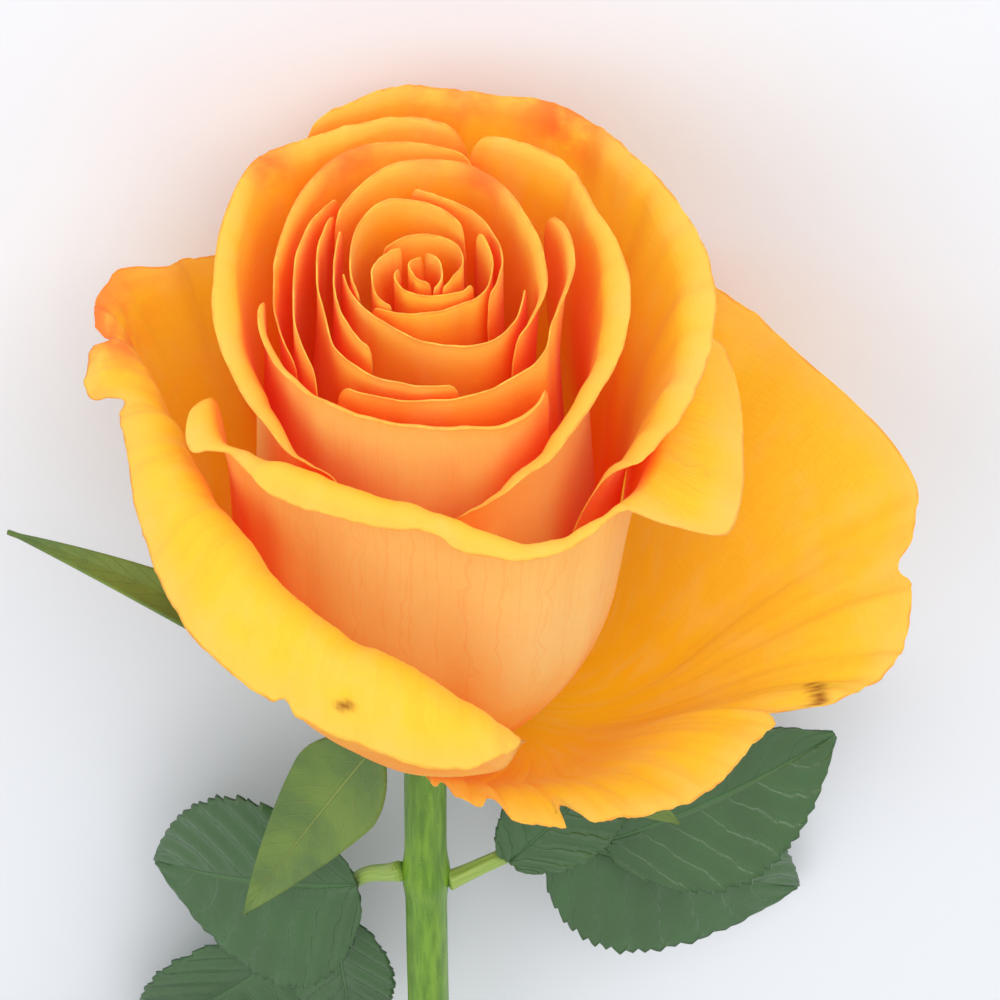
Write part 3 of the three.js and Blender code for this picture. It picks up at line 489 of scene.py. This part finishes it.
petal("petal_inner_4", "petal_inner", (5.1, -1.3), 27,
      [(52, 12.5, 57.5, 4, 25, 1.2), (66, 12.6, 58, 4, 35, 1.8), (79, 12.6, 58.9, 4, 40, 2.2),
       (95, 12.2, 60.7, 4, 40, 2.2), (116, 11.8, 61.9, 4, 30, 2.2), (147, 12.8, 63.1, 4, 30, 2),
       (165, 13.3, 63.3, 4, 30, 2), (190, 13.2, 63.4, 4, 30, 1.8), (217, 11.9, 63.1, 4, 20, 1.2),
       (240, 11, 63, 0, 5, 0.4)],
      corner=(0.1, 4), blush=[(150, 30, 5, 0.9), (178, 18, 2.5, 0.5)])
petal("petal_inner_5", "petal_inner", (5.4, -1.5), 29,
      [(240, 9.9, 62.9, 0, 0, 0.3), (261, 9.4, 61.8, 0, 5, 0.4), (285, 9.6, 60.2, 0, 5, 0.4),
       (300, 9.9, 59.1, 0, 5, 0.4), (323, 10.1, 57.7, 0, 5, 0.3), (329, 10, 57.7, 0, 0, 0)],
      corner=(0.1, 4))
petal("petal_ring_1", "petal_inner", (6, -1.9), 34,
      [(-130, 12.1, 62.9, 0, 0, 0.3), (-108, 11.5, 62.2, 0, 10, 0.6), (-94, 11.2, 61.2, 0, 10, 0.6),
       (-74, 11.2, 59.1, 0, 10, 0.7), (-48, 12, 56.2, 5, 15, 1), (-16, 11.9, 55.1, 8, 20, 1),
       (20, 12.5, 55.4, 5, 10, 0.4)],
      corner=(0.1, 4))
petal("petal_ring_2", "petal_inner", (6.4, -2.2), 36,
      [(-40, 14.2, 54.8, 0, 0, 0.2), (-10, 13.2, 53.7, 5, 25, 1), (18, 13.5, 54, 5, 20, 1.1),
       (44, 14.7, 55.1, 5, 15, 1), (58, 15.6, 56.7, 0, 10, 0.8), (66, 15.1, 58.6, 0, 20, 1),
       (78, 15.2, 59.9, 5, 40, 1.6), (90, 15.5, 61.5, 8, 40, 1.6), (103, 15.4, 62.9, 5, 25, 1.4),
       (118, 14.9, 63.2, 0, 10, 0.4)],
      corner=(0.1, 4))
petal("petal_ring_3", "petal_inner", (6.8, -2.5), 34,
      [(-138, 13.5, 62.8, 0, 5, 0.4), (-114, 13.3, 62.6, 0, 10, 0.6), (-98, 13.5, 62, 0, 10, 0.6),
       (-80, 13.9, 60.1, 0, 5, 0.4), (-63, 14.7, 57.8, 0, 0, 0.2), (-46, 15.4, 55.8, 0, 0, 0)],
      belly=0.38, corner=(0.1, 4))
petal("petal_ring_4", "petal_cup", (7.2, -2.8), 42,
      [(160, 16.8, 63, 4, 10, 0.6), (171, 17, 63, 4, 20, 1), (188, 17.3, 62.8, 4, 30, 1.8),
       (205, 17.6, 62.4, 4, 30, 2.2), (227, 16.4, 61.3, 4, 35, 2.4), (253, 15.4, 59.1, 4, 35, 2.4),
       (274, 15.7, 56.5, 4, 20, 1.6), (302, 15.6, 54.5, 0, 10, 0.8)],
      belly=0.38, corner=(0.1, 4), blush=[(208, 34, 6, 0.85)])
petal("petal_ring_5", "petal_cup", (7.6, -3.1), 42,
      [(-86, 17, 59, 0, 10, 0.6), (-78, 17.3, 57, 4, 40, 1.6), (-62, 17.1, 54.7, 4, 60, 2.2),
       (-49, 16.6, 53.8, 4, 70, 2), (-30, 15.7, 53.1, 4, 70, 2), (-9, 15.4, 52.6, 4, 70, 2),
       (14, 15.9, 52.1, 4, 75, 2.2), (33, 17.6, 52.6, 4, 75, 2), (42, 17.8, 53.3, 4, 50, 1.6),
       (51, 17.4, 54.8, 0, 20, 1)],
      belly=0.38, corner=(0.1, 4), veined=0.5)
petal("petal_cup_1", "petal_cup", (8, -3.4), 48,
      [(4, 21.5, 43.7, 5, 40, 1.5), (16, 21.1, 45.5, 8, 60, 2.6), (34, 20.6, 48.4, 10, 75, 3.6),
       (53, 20, 52.2, 8, 80, 4.2), (71, 19.7, 55.8, 12, 80, 4.4), (84, 19.6, 58.4, 12, 75, 4),
       (99, 19, 61.2, 12, 55, 3), (111, 18.6, 62.8, 10, 40, 2.2), (131, 19.1, 63.8, 10, 35, 2),
       (154, 18.6, 64.1, 8, 25, 1.6), (166, 18.2, 63.7, 5, 15, 1)],
      corner=(0.1, 7), ruffle=0.4)
petal("petal_cup_2", "petal_cup", (8.4, -3.7), 48,
      [(166, 21.5, 62.8, 8, 20, 0.8), (188, 21.6, 62.8, 8, 30, 1.8), (204, 21.2, 62.2, 10, 40, 2.4),
       (218, 21.5, 61.8, 10, 40, 2.8), (229, 22.1, 62.2, 10, 40, 2.8), (251, 20.8, 59.8, 12, 60, 3.4),
       (266, 20.1, 57.4, 12, 75, 3.6), (280, 19.7, 54.4, 12, 80, 4.2), (296, 19.3, 51.6, 12, 80, 4),
       (311, 19.4, 48.8, 8, 70, 3.4), (321, 19.3, 47.1, 5, 60, 2.4), (336, 19.3, 45.7, 0, 20, 1)],
      corner=(0.1, 7), ruffle=0.4, blush=[(229, 16, 7, 0.9)])
petal("petal_cup_3", "petal_cup", (8.8, -4), 47,
      [(44, 26.2, 46.6, 24, 52, 2.6), (58, 27, 49.5, 24, 67, 4.2), (69, 27.4, 52.3, 24, 72, 5),
       (83, 27.6, 55.1, 24, 72, 5), (96, 27.5, 57.5, 24, 62, 4.6), (104, 27, 58.9, 24, 52, 4.2),
       (125, 26.6, 61.1, 12, 40, 3.2), (138, 26.8, 62, 12, 35, 2.8), (152, 26.6, 62.6, 12, 30, 2.6),
       (167, 25.6, 62.6, 10, 30, 2.4), (186, 25.8, 63, 10, 30, 2.4), (202, 25.1, 62.6, 8, 25, 1.8),
       (216, 24.6, 61.7, 8, 20, 1)],
      corner=(0.1, 7), ruffle=0.5, blush=[(172, 26, 7, 0.65), (146, 26, 10, 0.95)])
petal("petal_cup_4", "petal_cup", (9.4, -4.6), 51,
      [(-74, 23.5, 48.6, 8, 30, 1.5), (-68, 24, 47.5, 12, 70, 4), (-61, 24.4, 47, 12, 100, 5),
       (-54, 23.6, 47.6, 12, 120, 2.2), (-49, 23.2, 47.8, 12, 125, 3), (-37, 21.3, 47.6, 10, 130, 6),
       (-22, 20.9, 47.5, 8, 140, 6), (-6, 21.8, 47.3, 8, 140, 5.4), (3, 22.8, 46.9, 8, 140, 4.6),
       (8, 23.9, 46.6, 8, 135, 5.6), (13, 25.6, 46.3, 8, 130, 5.2), (22, 28, 45.6, 8, 125, 4.4),
       (30, 29, 45.4, 8, 120, 3), (37, 29.2, 45.8, 10, 110, 2), (42, 29.6, 46.4, 10, 90, 1.6),
       (46, 29.4, 46, 12, 78, 7), (52, 28.8, 45.4, 14, 76, 13), (63, 27.2, 45.2, 14, 76, 12),
       (72, 26, 45.6, 14, 76, 11), (85, 25.4, 46, 14, 72, 9.5), (97, 25.2, 46.4, 12, 65, 8)],
      fold=2.0, corner=(0.06, 4), ruffle=0.25, veined=0.6)
petal("petal_outer_left", "petal_outer", (9.8, -5.2), 54,
      [(-146, 39.2, 33, 35, 10, 1.5), (-136, 36, 39.5, 28, 10, 1), (-126, 35.8, 42.4, 22, 10, 1),
       (-118, 38.4, 42.8, 25, 15, 2.5), (-112, 38, 42.2, 25, 45, 3), (-106, 34.8, 41.6, 22, 80, 5),
       (-99, 31.3, 41.2, 18, 105, 8.2), (-92, 29.3, 41, 15, 116, 10.4), (-86, 28, 40.8, 12, 122, 7.5),
       (-76, 26.8, 40.2, 8, 124, 8.6), (-60, 26, 39.2, 6, 124, 12.2), (-48, 26.2, 38.4, 6, 124, 14.2),
       (-35, 28, 37.2, 6, 124, 15), (-20, 29.4, 34.8, 8, 126, 15), (-4, 30.7, 31.5, 10, 126, 14.6),
       (5, 32.7, 29.3, 14, 122, 12.6), (13, 35, 26.8, 20, 110, 7), (17, 36.8, 25.4, 25, 80, 3)],
      belly=0.42, fold=4.0, corner=(0.05, 3), ruffle=0.6, blush=[(-106, 26, 14, 0.95)],
      cuts=[(-103, 3.5, 2.5), (-88, 3, 1.5), (-21, 2.5, 1)], scars=[(-12, 3.5, 1.6, 0.6)], veined=0.2)
petal("petal_outer_right", "petal_outer", (10.2, -6), 94,
      [(0, 20, 1.2, 75, 10, 1), (10, 24, 3, 75, 15, 1.5), (17, 28, 4.6, 78, 20, 2),
       (22, 31, 6, 80, 20, 2.5), (29, 33.6, 7, 80, 20, 2.5), (36, 36.3, 7.6, 80, 20, 2.5),
       (45, 39.4, 8.6, 80, 18, 2.5), (53, 40.6, 9.6, 78, 15, 2.5), (62, 41.6, 10.6, 76, 15, 2.5),
       (68, 47, 11.8, 74, 15, 2.5), (75, 52.4, 14, 70, 12, 2.5), (82, 54, 17.5, 65, 10, 2),
       (89, 54.2, 21.5, 60, 10, 1.5), (93, 55, 24, 58, 8, 1.5), (97, 53.2, 27, 52, 8, 1.5),
       (104, 49.2, 29.6, 45, 8, 1.5), (112, 45.6, 31.4, 38, 8, 1.5), (129, 41.8, 35, 30, 8, 1.2),
       (142, 40, 36.2, 25, 5, 1)],
      corner=(0.04, 2), ruffle=0.8,
      cuts=[(28.6, 2.4, 4.5), (16, 3.5, 2.4), (65.5, 3.5, 4), (5, 4, 1.5), (86, 3, 1.8)],
      scars=[(70, 4, 8, 1.05)], veined=0.2)
petal("petal_outer_back", "petal_outer", (9.6, -4.9), 58,
      [(128, 31, 48, 10, 20, 1), (150, 30.5, 50.5, 12, 45, 2.5), (170, 30, 52, 12, 55, 3),
       (192, 30, 52, 12, 55, 3), (212, 29.5, 50.5, 10, 45, 2.5), (230, 28.5, 48.5, 8, 20, 1)],
      ruffle=0.5)

PETAL_THICKNESS = 0.3
RIM_THINNING = 0.45              # share of the thickness that is lost toward the rim
BODY_ROWS = 44
RIB_SPACING = 0.45               # mm between ribs along the rim
CLAW_SHARE, CLAW_ANGLE = 0.42, 30    # width of the base as a share of the rim, and its most
BELLY, FOLD, CORNER, RUFFLE = 0.42, 9, (0.2, 14), 0.15
VEINED, SCAR_WIDTH = 0.12, 0.42


def petal_ribs(p, crest, seed, az):
    """Ribs from base to crest, then round the rolled lip, as a grid of ribs by rows."""
    radius, crest_height, lean, roll, lip = crest
    half = (az[-1] - az[0]) / 2
    middle = (az[0] + az[-1]) / 2
    lean, roll = np.radians(lean), np.radians(roll)
    lip = np.maximum(lip, 0.02)
    height = crest_height + 0.35 * p.get("ruffle", RUFFLE) * waves(np.radians(az) * radius * 0.9, seed)
    r0, z0 = p["base"]
    reach = p.get("belly", BELLY) * np.hypot(radius - r0, height - z0)
    flare = math.radians(p["flare"])
    r1, z1 = r0 + reach * math.sin(flare), z0 + reach * math.cos(flare)
    r2, z2 = radius - reach * np.sin(lean), height - reach * np.cos(lean)
    narrow = min(CLAW_SHARE, CLAW_ANGLE / half)
    rows = []
    for t in np.linspace(0, 1, BODY_ROWS):
        s = 1 - t
        b = (s**3, 3 * s * s * t, 3 * s * t * t, t**3)
        angle = middle + (az - middle) * (narrow + (1 - narrow) * smooth(0, 0.6, t))
        rows.append((angle, b[0] * r0 + b[1] * r1 + b[2] * r2 + b[3] * radius,
                     b[0] * z0 + b[1] * z1 + b[2] * z2 + b[3] * height))
    r, z = radius.copy(), height.copy()
    curl = np.minimum(lip, np.maximum(p.get("fold", FOLD) * roll, 0.01))
    lip_rows = 8 if lip.max() < 2.5 else 18 if lip.max() < 8 else 30
    for k in range(lip_rows):
        travelled = lip * (k + 0.5) / lip_rows
        angle = lean + roll * np.minimum(1, travelled / curl)
        r = r + np.sin(angle) * lip / lip_rows
        z = z + np.cos(angle) * lip / lip_rows
        rows.append((az, r, z))
    rows = np.array(rows)
    angle = np.radians(rows[:, 0])
    grid = np.stack([rows[:, 1] * np.sin(angle), -rows[:, 1] * np.cos(angle), rows[:, 2]], -1)
    return np.swapaxes(grid, 0, 1)


def trim_rim(p, grid, seed, az, side, arc):
    """Pull the rim back along each rib for rounded corners and notches; returns lengths too."""
    step = np.linalg.norm(np.diff(grid, axis=1), axis=-1)
    length = np.concatenate([np.zeros((len(az), 1)), np.cumsum(step, axis=1)], axis=1)
    share, drop = p.get("corner", CORNER)
    outer = np.clip((np.abs(side) - 1 + share) / share, 0, 1)
    cut = drop * (1 - np.sqrt(1 - outer**2))
    for at, width, depth in p.get("cuts", []):
        cut = cut + depth * np.exp(-np.abs((az - at) / (width / 2))**3)
    cut += 0.25 * p.get("ruffle", RUFFLE) * (1 + waves(arc * 2.2, seed + 50)) * 0.5
    total = length[:, -1:]
    wanted = length * (total - cut[:, None]) / total
    for i in range(len(az)):
        for k in range(3):
            grid[i, :, k] = np.interp(wanted[i], length[i], grid[i, :, k])
    return wanted


def petal_marks(p, az, radius, rim):
    """Pink flush, veins and thin brown scars, each 0 to 1 over the petal."""
    blush = np.zeros_like(rim)
    for at, width, depth, strength in p.get("blush", []):
        across = np.exp(-(((az - at) / width * 2)**2))[:, None]
        blush = np.maximum(blush, strength * across * smooth(depth, depth * 0.2, rim))
    scar = np.zeros_like(rim)
    for at, depth, long, slant in p.get("scars", []):
        x = np.radians(az - at)[:, None] * radius[:, None]
        y = rim - depth
        u = x * math.cos(slant) + y * math.sin(slant)
        v = y * math.cos(slant) - x * math.sin(slant)
        line = np.exp(-(v / SCAR_WIDTH)**2)
        scar = np.maximum(scar, line * smooth(long / 2 + 0.5, long / 2 - 0.5, np.abs(u)))
    veined = np.full_like(rim, p.get("veined", VEINED)) * smooth(2.0, 6.0, rim)
    return dict(blush=blush, veined=veined, scar=scar)


def petal_grid(p, seed):
    stations = p["crest"]
    first, last = stations[0][0], stations[-1][0]
    middle, half = (first + last) / 2, (last - first) / 2
    widest = max(row[1] for row in stations)
    cols = int(min(240, max(60, (last - first) * math.pi / 180 * widest / RIB_SPACING)))
    az = np.linspace(first, last, cols)
    crest = [station(stations, k, az) for k in range(1, 6)]
    radius = crest[0]
    side = (az - middle) / half
    arc = np.radians(az) * radius
    grid = petal_ribs(p, crest, seed, az)
    length = trim_rim(p, grid, seed, az, side, arc)
    near_side = (1 - np.abs(side))[:, None] * np.radians(half) * radius[:, None]
    rim = np.minimum(length[:, -1:] - length, near_side + 0.02)
    rise = length / length[:, -1:]
    across = side[:, None] * np.ones_like(rise)
    # waves in the blade, strongest at the rim
    ruffle = p.get("ruffle", RUFFLE)
    wave = waves(arc * 0.35, seed + 9, 3)[:, None] * smooth(0.6, 1.0, rise) * ruffle
    wave += waves(arc * 1.3, seed + 19, 2)[:, None] * smooth(0.85, 1.0, rise) * ruffle * 0.3
    grid = grid + normals(grid) * wave[..., None]
    surface = np.stack([across * np.radians(half) * radius.mean(), length,
                        np.full_like(rise, seed * 37.0)], -1)
    marks = petal_marks(p, az, radius, rim)
    return grid, dict(rise=rise, side=across, rim=rim, surface=surface, **marks)


def make_petals():
    for seed, (name, p) in enumerate(PETALS.items()):
        grid, data = petal_grid(p, seed + 1)
        thickness = PETAL_THICKNESS * (1 - RIM_THINNING * data["rise"]**6)
        points, faces, attributes = shell(grid, thickness, data, "inside")
        build("bloom_" + name, points, faces, attributes, p["look"], name)


make_petals()


# ---------------------------------------------------------------- leaves and sepals
TOOTH = 0.07                     # depth of a tooth as a share of the half width
QUILT = 0.22                     # mm that the blade rises between its side veins
SIDE_VEINS = 8
MIDRIB_DEPTH = 0.35


def blade(name, node, look, start, tip, face, width, bow, droop, cup, widest, taper, teeth, thickness):
    """Leaf-like shell; `bow` lifts the middle toward the face, `droop` drops the tip."""
    rows, half_cols = 96, 12
    start, tip = np.array(start, float), np.array(tip, float)
    up = np.array(face, float)
    up /= np.linalg.norm(up)
    along = (tip - start) / np.linalg.norm(tip - start)
    side = np.cross(along, up)
    side /= np.linalg.norm(side)
    lift = np.cross(side, along)
    length = np.linalg.norm(tip - start)
    t = np.linspace(0.02, 0.99, rows)[:, None]
    s = -np.linspace(-1, 1, 2 * half_cols + 1)[None, :]
    away = np.where(t < widest, (widest - t) / widest, (t - widest) / (1 - widest))
    outline = np.where(t < widest, (1 - away**2) ** 0.6, 1 - away**taper)
    saw = (t * teeth) % 1.0 if teeth else np.zeros_like(t)
    nick = TOOTH * (1 - saw) * (outline > 0.12) * bool(teeth)
    half = np.maximum(width / 2 * outline * (1 - nick), 0.25)
    bend = bow * 4 * t * (1 - t) - droop * t * t
    middle = start + (tip - start) * t[..., None] + up * bend[..., None]
    reach = np.abs(s)
    quilt = 0.0
    if teeth:
        ribs = np.cos(2 * np.pi * (t * SIDE_VEINS - reach * 1.6))
        quilt = QUILT * ribs * smooth(0.05, 0.3, reach) * (outline + 0.2)
        quilt = quilt - MIDRIB_DEPTH * np.exp(-(reach / 0.07) ** 2)
    offset = cup * half * reach**1.4 + quilt
    grid = middle + side * (half * s)[..., None] + lift * offset[..., None]
    data = dict(along=t * np.ones_like(s), across=s * np.ones_like(t),
                surface=np.stack([half * s, t * length * np.ones_like(s),
                                  np.full((rows, s.size), length)], -1))
    points, faces, attributes = shell(grid, np.full(grid.shape[:2], thickness), data, "upper")
    return build(name, points, faces, attributes, look, node)


# node, base, tip, face, width, bow, droop, cup, widest
SEPALS = [
    ("sepal_front", (-6.24, -5.62, -8.8), (-25, -1, -48), (-0.45, -0.8, 0.35), 12.4, 1.5, 1, 0.35, 0.2),
    ("sepal_left", (-9.32, 3.03, -8.2), (-50.2, 9, 12.4), (-0.15, -0.45, 0.9), 6.6, 4.6, 0, 0.3, 0.3),
    ("sepal_right", (8.18, -3.99, -8.8), (32, -3, -27), (0.5, -0.6, 0.7), 10, 2, 3, 0.3, 0.25),
    ("sepal_back_left", (-4.01, 8.61, -8.6), (-14, 19, -38), (-0.3, 0.8, 0.5), 10, 2, 3, 0.3, 0.25),
    ("sepal_back_right", (5.45, 7.78, -8.6), (19, 18, -35), (0.4, 0.8, 0.5), 10, 2, 3, 0.3, 0.25),
]
for node, *shape in SEPALS:
    blade("green_" + node, node, "sepal_green", *shape, taper=1.2, teeth=0, thickness=0.5)


# ---------------------------------------------------------------- stem, stalks, hip
TUBE_SEED = np.array([0.31, -0.87, 0.38])
PRICKLE_LONG, PRICKLE_WIDE, PRICKLE_HOOK = 3.4, 1.5, 0.35


def tube(name, node, look, centre, radius, sides, prickles=()):
    """Closed tube; prickles are (path position in mm, angle, height)."""
    centre = np.asarray(centre, float)
    tangent = np.gradient(centre, axis=0)
    tangent /= np.linalg.norm(tangent, axis=1, keepdims=True)
    u = np.cross(TUBE_SEED, tangent)
    u /= np.linalg.norm(u, axis=1, keepdims=True)
    v = np.cross(tangent, u)
    a = np.linspace(0, 2 * np.pi, sides, endpoint=False)[None, :]
    travelled = np.concatenate([[0], np.cumsum(np.linalg.norm(np.diff(centre, axis=0), axis=1))])[:, None]
    spike = np.zeros((len(centre), sides))
    for at, angle, height in prickles:
        turn = (a - angle + np.pi) % (2 * np.pi) - np.pi
        far = np.hypot((travelled - at) / PRICKLE_LONG, turn * radius.mean() / PRICKLE_WIDE)
        spike = np.maximum(spike, height * np.clip(1 - far, 0, 1) ** 1.6)
    reach = radius[:, None] + spike
    grid = (centre[:, None] + u[:, None] * (reach * np.cos(a))[..., None]
            + v[:, None] * (reach * np.sin(a))[..., None]
            + tangent[:, None] * (spike * PRICKLE_HOOK)[..., None])
    count = len(centre)
    points = np.concatenate([grid.reshape(-1, 3), centre[:1], centre[-1:]])
    faces = []
    for i in range(count - 1):
        for k in range(sides):
            n = (k + 1) % sides
            faces.append((i * sides + k, i * sides + n, (i + 1) * sides + n, (i + 1) * sides + k))
    for k in range(sides):
        n = (k + 1) % sides
        faces.append((n, k, count * sides))
        faces.append(((count - 1) * sides + k, (count - 1) * sides + n, count * sides + 1))
    tip = np.concatenate([smooth(0.8, 3.5, spike).ravel(), [0, 0]])
    along = np.broadcast_to(travelled, spike.shape)
    around = np.broadcast_to(a, spike.shape)
    surface = np.stack([np.cos(around) * 3, np.sin(around) * 3, along], -1).reshape(-1, 3)
    surface = np.concatenate([surface, [[0, 0, 0], [0, 0, 300]]])
    return build(name, points, faces, dict(tip=tip, surface=surface), look, node)


STEM_TOP, STEM_LENGTH, STEM_RADIUS, STEM_BOW = -16.35, 226.0, 2.6, 9.0
STEM_OFFSET, STEM_LEAN, STEM_THICKENING = 0.8, 0.015, 0.16
STEM_RINGS, STEM_SIDES = 36, 10      # of the CAD stem, which prickles are counted on
NODE_DEPTHS, NODE_SWELL, NODE_SPAN = (40, 98, 152), 0.45, 3


def stem_centre(z):
    drop = STEM_TOP - np.asarray(z, float)
    x = -STEM_OFFSET - STEM_LEAN * drop + STEM_BOW * (drop / STEM_LENGTH) ** 2
    return np.stack([x, 0 * drop, z + 0 * drop], -1)


def stem_radius(z):
    swell = sum(NODE_SWELL * np.exp(-(((z + n) / NODE_SPAN) ** 2)) for n in NODE_DEPTHS)
    return STEM_RADIUS * (1 + STEM_THICKENING * (STEM_TOP - z) / STEM_LENGTH) + swell


stem_z = STEM_TOP - STEM_LENGTH * np.linspace(0, 1, 420)
# (ring, side, height) of each prickle
PRICKLES = [(11, 6, 4.5), (15, 4, 5), (19, 8, 5), (24, 1, 5.5), (28, 6, 5), (32, 3, 5)]
tube("green_stem", "stem", "stem_green", stem_centre(stem_z), stem_radius(stem_z), 40,
     [(STEM_LENGTH * ring / STEM_RINGS, 2 * np.pi * k / STEM_SIDES, height) for ring, k, height in PRICKLES])

# petiole points and leaflet tips are relative to where the petiole leaves the stem;
# leaflets are (petiole point, tip, width, face, 1 from the upper or -1 from the under side)
LEAVES = [
    ("leaf_left", -1, -40, [(-3.2, 2.2, -3.2), (-7.4, 4.8, -11.6), (-10.8, 7.4, -21)],
     [(3, (-35, 13, -53), 23, (0.1, -0.95, 0.1), 0), (1, (-32, 11.4, -14), 30, (-0.1, -0.95, 0.3), 1),
      (2, (-6, 7, -45), 14, (0, -0.95, 0.1), 1)]),
    ("leaf_right", 1, -40.5, [(5.2, 2.8, 0.2), (11, 5.4, -0.6), (17, 7, -2.6)],
     [(3, (47.5, 8.6, 15), 25, (0.1, -0.9, 0.3), 0), (2, (45.5, 16, -25), 27, (0.1, -0.95, 0.2), -1),
      (1, (23, 5, 22), 14, (0.1, -0.85, 0.5), 1)]),
    ("leaf_lower_left", -1, -98, [(-11, 3, -9), (-22, 6, -18), (-33, 8, -27)],
     [(3, (-66, 7, -42), 26, (0, -1, 0.12), 0), (2, (-50, 7, -3), 22, (0, -1, 0.12), 1),
      (2, (-28, 8.6, -54), 18, (0, -1, 0.12), 1), (1, (-30, 4, 9), 18, (0, -1, 0.12), 1),
      (1, (-10, 6, -37), 16, (0, -1, 0.12), 1)]),
    ("leaf_lower_right", 1, -152, [(8, 1.4, -8), (19, 2, -17), (30, 2, -26)],
     [(3, (60, -1, -42), 25, (0, -1, 0.12), 0), (2, (44, 3, -1), 22, (0, -1, 0.12), 1),
      (2, (28, 1.8, -56), 15, (0, -1, 0.12), 1), (1, (26, 2.6, 12), 17, (0, -1, 0.12), 1),
      (1, (11, -1, -34), 13, (0, -1, 0.12), 1)]),
]
PETIOLE_RADIUS, JOIN_GAP, LEAF_THICKNESS = 0.9, 0.35, 0.6
LEAFLET = dict(bow=1.5, droop=3.0, cup=0.16, widest=0.42, taper=1.9, teeth=20, thickness=0.45)


def make_leaf(leaf, flank, height, stalk, leaflets):
    thick = [PETIOLE_RADIUS * (1.3 - 0.16 * i) for i in range(4)]
    start = stem_centre(height)
    start[0] += flank * (stem_radius(height) + JOIN_GAP + thick[0])
    knots = np.array([start] + [start + p for p in stalk])
    # the petiole runs into the stem without a gap
    root = knots[0] - (knots[1] - knots[0]) * (thick[0] + 0.8) / np.linalg.norm(knots[1] - knots[0])
    rows = [(-0.4, *root, thick[0] * 1.15)] + [(i, *p, thick[i]) for i, p in enumerate(knots)]
    x = np.linspace(-0.4, 3, 56)
    path = np.stack([station(rows, k, x) for k in (1, 2, 3)], 1)
    tube("green_" + leaf + "_petiole", leaf + "_petiole", "petiole_green", path, station(rows, 4, x), 14)
    for i, (knot, tip, width, face, over) in enumerate(leaflets, 1):
        tip = start + tip
        away = (tip - knots[knot]) / np.linalg.norm(tip - knots[knot])
        base = knots[knot] + away * (thick[knot] * 0.5)
        base[1] -= over * (thick[knot] + LEAF_THICKNESS)
        blade(f"green_{leaf}_leaflet_{i}", f"{leaf}_leaflet_{i}", "leaf_green", base, tip, face, width,
              **LEAFLET)


for leaf_row in LEAVES:
    make_leaf(*leaf_row)

# (radius, height) outline of the visible hip, a little rounder than the CAD one
HIP = [(0, -0.5), (1.9, -0.95), (5.1, -2.2), (8.0, -4.2), (9.6, -6.3), (9.3, -7.2), (7.9, -8.6),
       (7.3, -10), (6.8, -11.6), (5.4, -13.5), (3.8, -15), (3.1, -16)]


def make_hip():
    x = np.linspace(0, len(HIP) - 1, 70)
    knots = [(i, r, z) for i, (r, z) in enumerate(HIP)]
    r, z = station(knots, 1, x), station(knots, 2, x)
    sides = 64
    a = np.linspace(0, 2 * np.pi, sides, endpoint=False)
    ripple = 1 + 0.012 * np.cos(5 * a)[None, :] * smooth(-4, -9, z)[:, None]
    grid = np.stack([r[:, None] * np.sin(a) * ripple, -r[:, None] * np.cos(a) * ripple,
                     z[:, None] + 0 * a], -1)
    points = np.concatenate([grid[1:].reshape(-1, 3), [[0, 0, HIP[0][1]], [0, 0, HIP[-1][1]]]])
    rings = len(x) - 1
    faces = []
    for i in range(rings - 1):
        for k in range(sides):
            n = (k + 1) % sides
            faces.append((i * sides + k, (i + 1) * sides + k, (i + 1) * sides + n, i * sides + n))
    for k in range(sides):
        n = (k + 1) % sides
        faces.append((k, n, rings * sides))
        faces.append(((rings - 1) * sides + n, (rings - 1) * sides + k, rings * sides + 1))
    build("green_hip", points, faces, dict(tip=np.zeros(len(points)), surface=points), "stem_green", "hip")


make_hip()


# ---------------------------------------------------------------- floor and light
FLOOR_HALF = 6.0
KEY, FILL, SKY = 5.4, 3.0, 0.75      # watts, watts and background strength


def make_stage():
    g = Graph("studio_floor")
    texture = g.tree.nodes.new("ShaderNodeTexCoord")
    grain = g.noise(texture.outputs["Object"], 6.0, 4)
    tone = g.mix(g.ease(grain, 0.3, 0.7), srgb(234, 238, 244), srgb(237, 241, 247))
    g.put(g.shader.inputs["Base Color"], tone)
    g.shader.inputs["Roughness"].default_value = 0.9
    mesh = bpy.data.meshes.new("floor")
    corners = [(x * FLOOR_HALF, y * FLOOR_HALF, 0) for x, y in ((-1, -1), (1, -1), (1, 1), (-1, 1))]
    mesh.from_pydata(corners, [], [(0, 1, 2, 3)])
    mesh.materials.append(g.material)
    floor = bpy.data.objects.new("floor", mesh)
    bpy.context.scene.collection.objects.link(floor)


def lamp(name, place, aim, size, power):
    data = bpy.data.lights.new(name, "AREA")
    data.size = size
    data.energy = power
    light = bpy.data.objects.new(name, data)
    bpy.context.scene.collection.objects.link(light)
    light.location = place
    light.rotation_mode = "QUATERNION"
    light.rotation_quaternion = (Vector(aim) - Vector(place)).to_track_quat("-Z", "Y")


make_stage()
bloom = Vector(to_world((0, 0, 30)))
lamp("key", bloom + Vector((-0.35, -0.8, 0.7)), bloom, 0.8, KEY)
lamp("fill", bloom + Vector((0.7, -0.3, 0.8)), bloom, 1.0, FILL)

world = bpy.data.worlds.new("studio")
world.use_nodes = True
world.node_tree.nodes["Background"].inputs[0].default_value = (1, 1, 1, 1)
world.node_tree.nodes["Background"].inputs[1].default_value = SKY
bpy.context.scene.world = world
bpy.context.scene.view_settings.view_transform = "Standard"
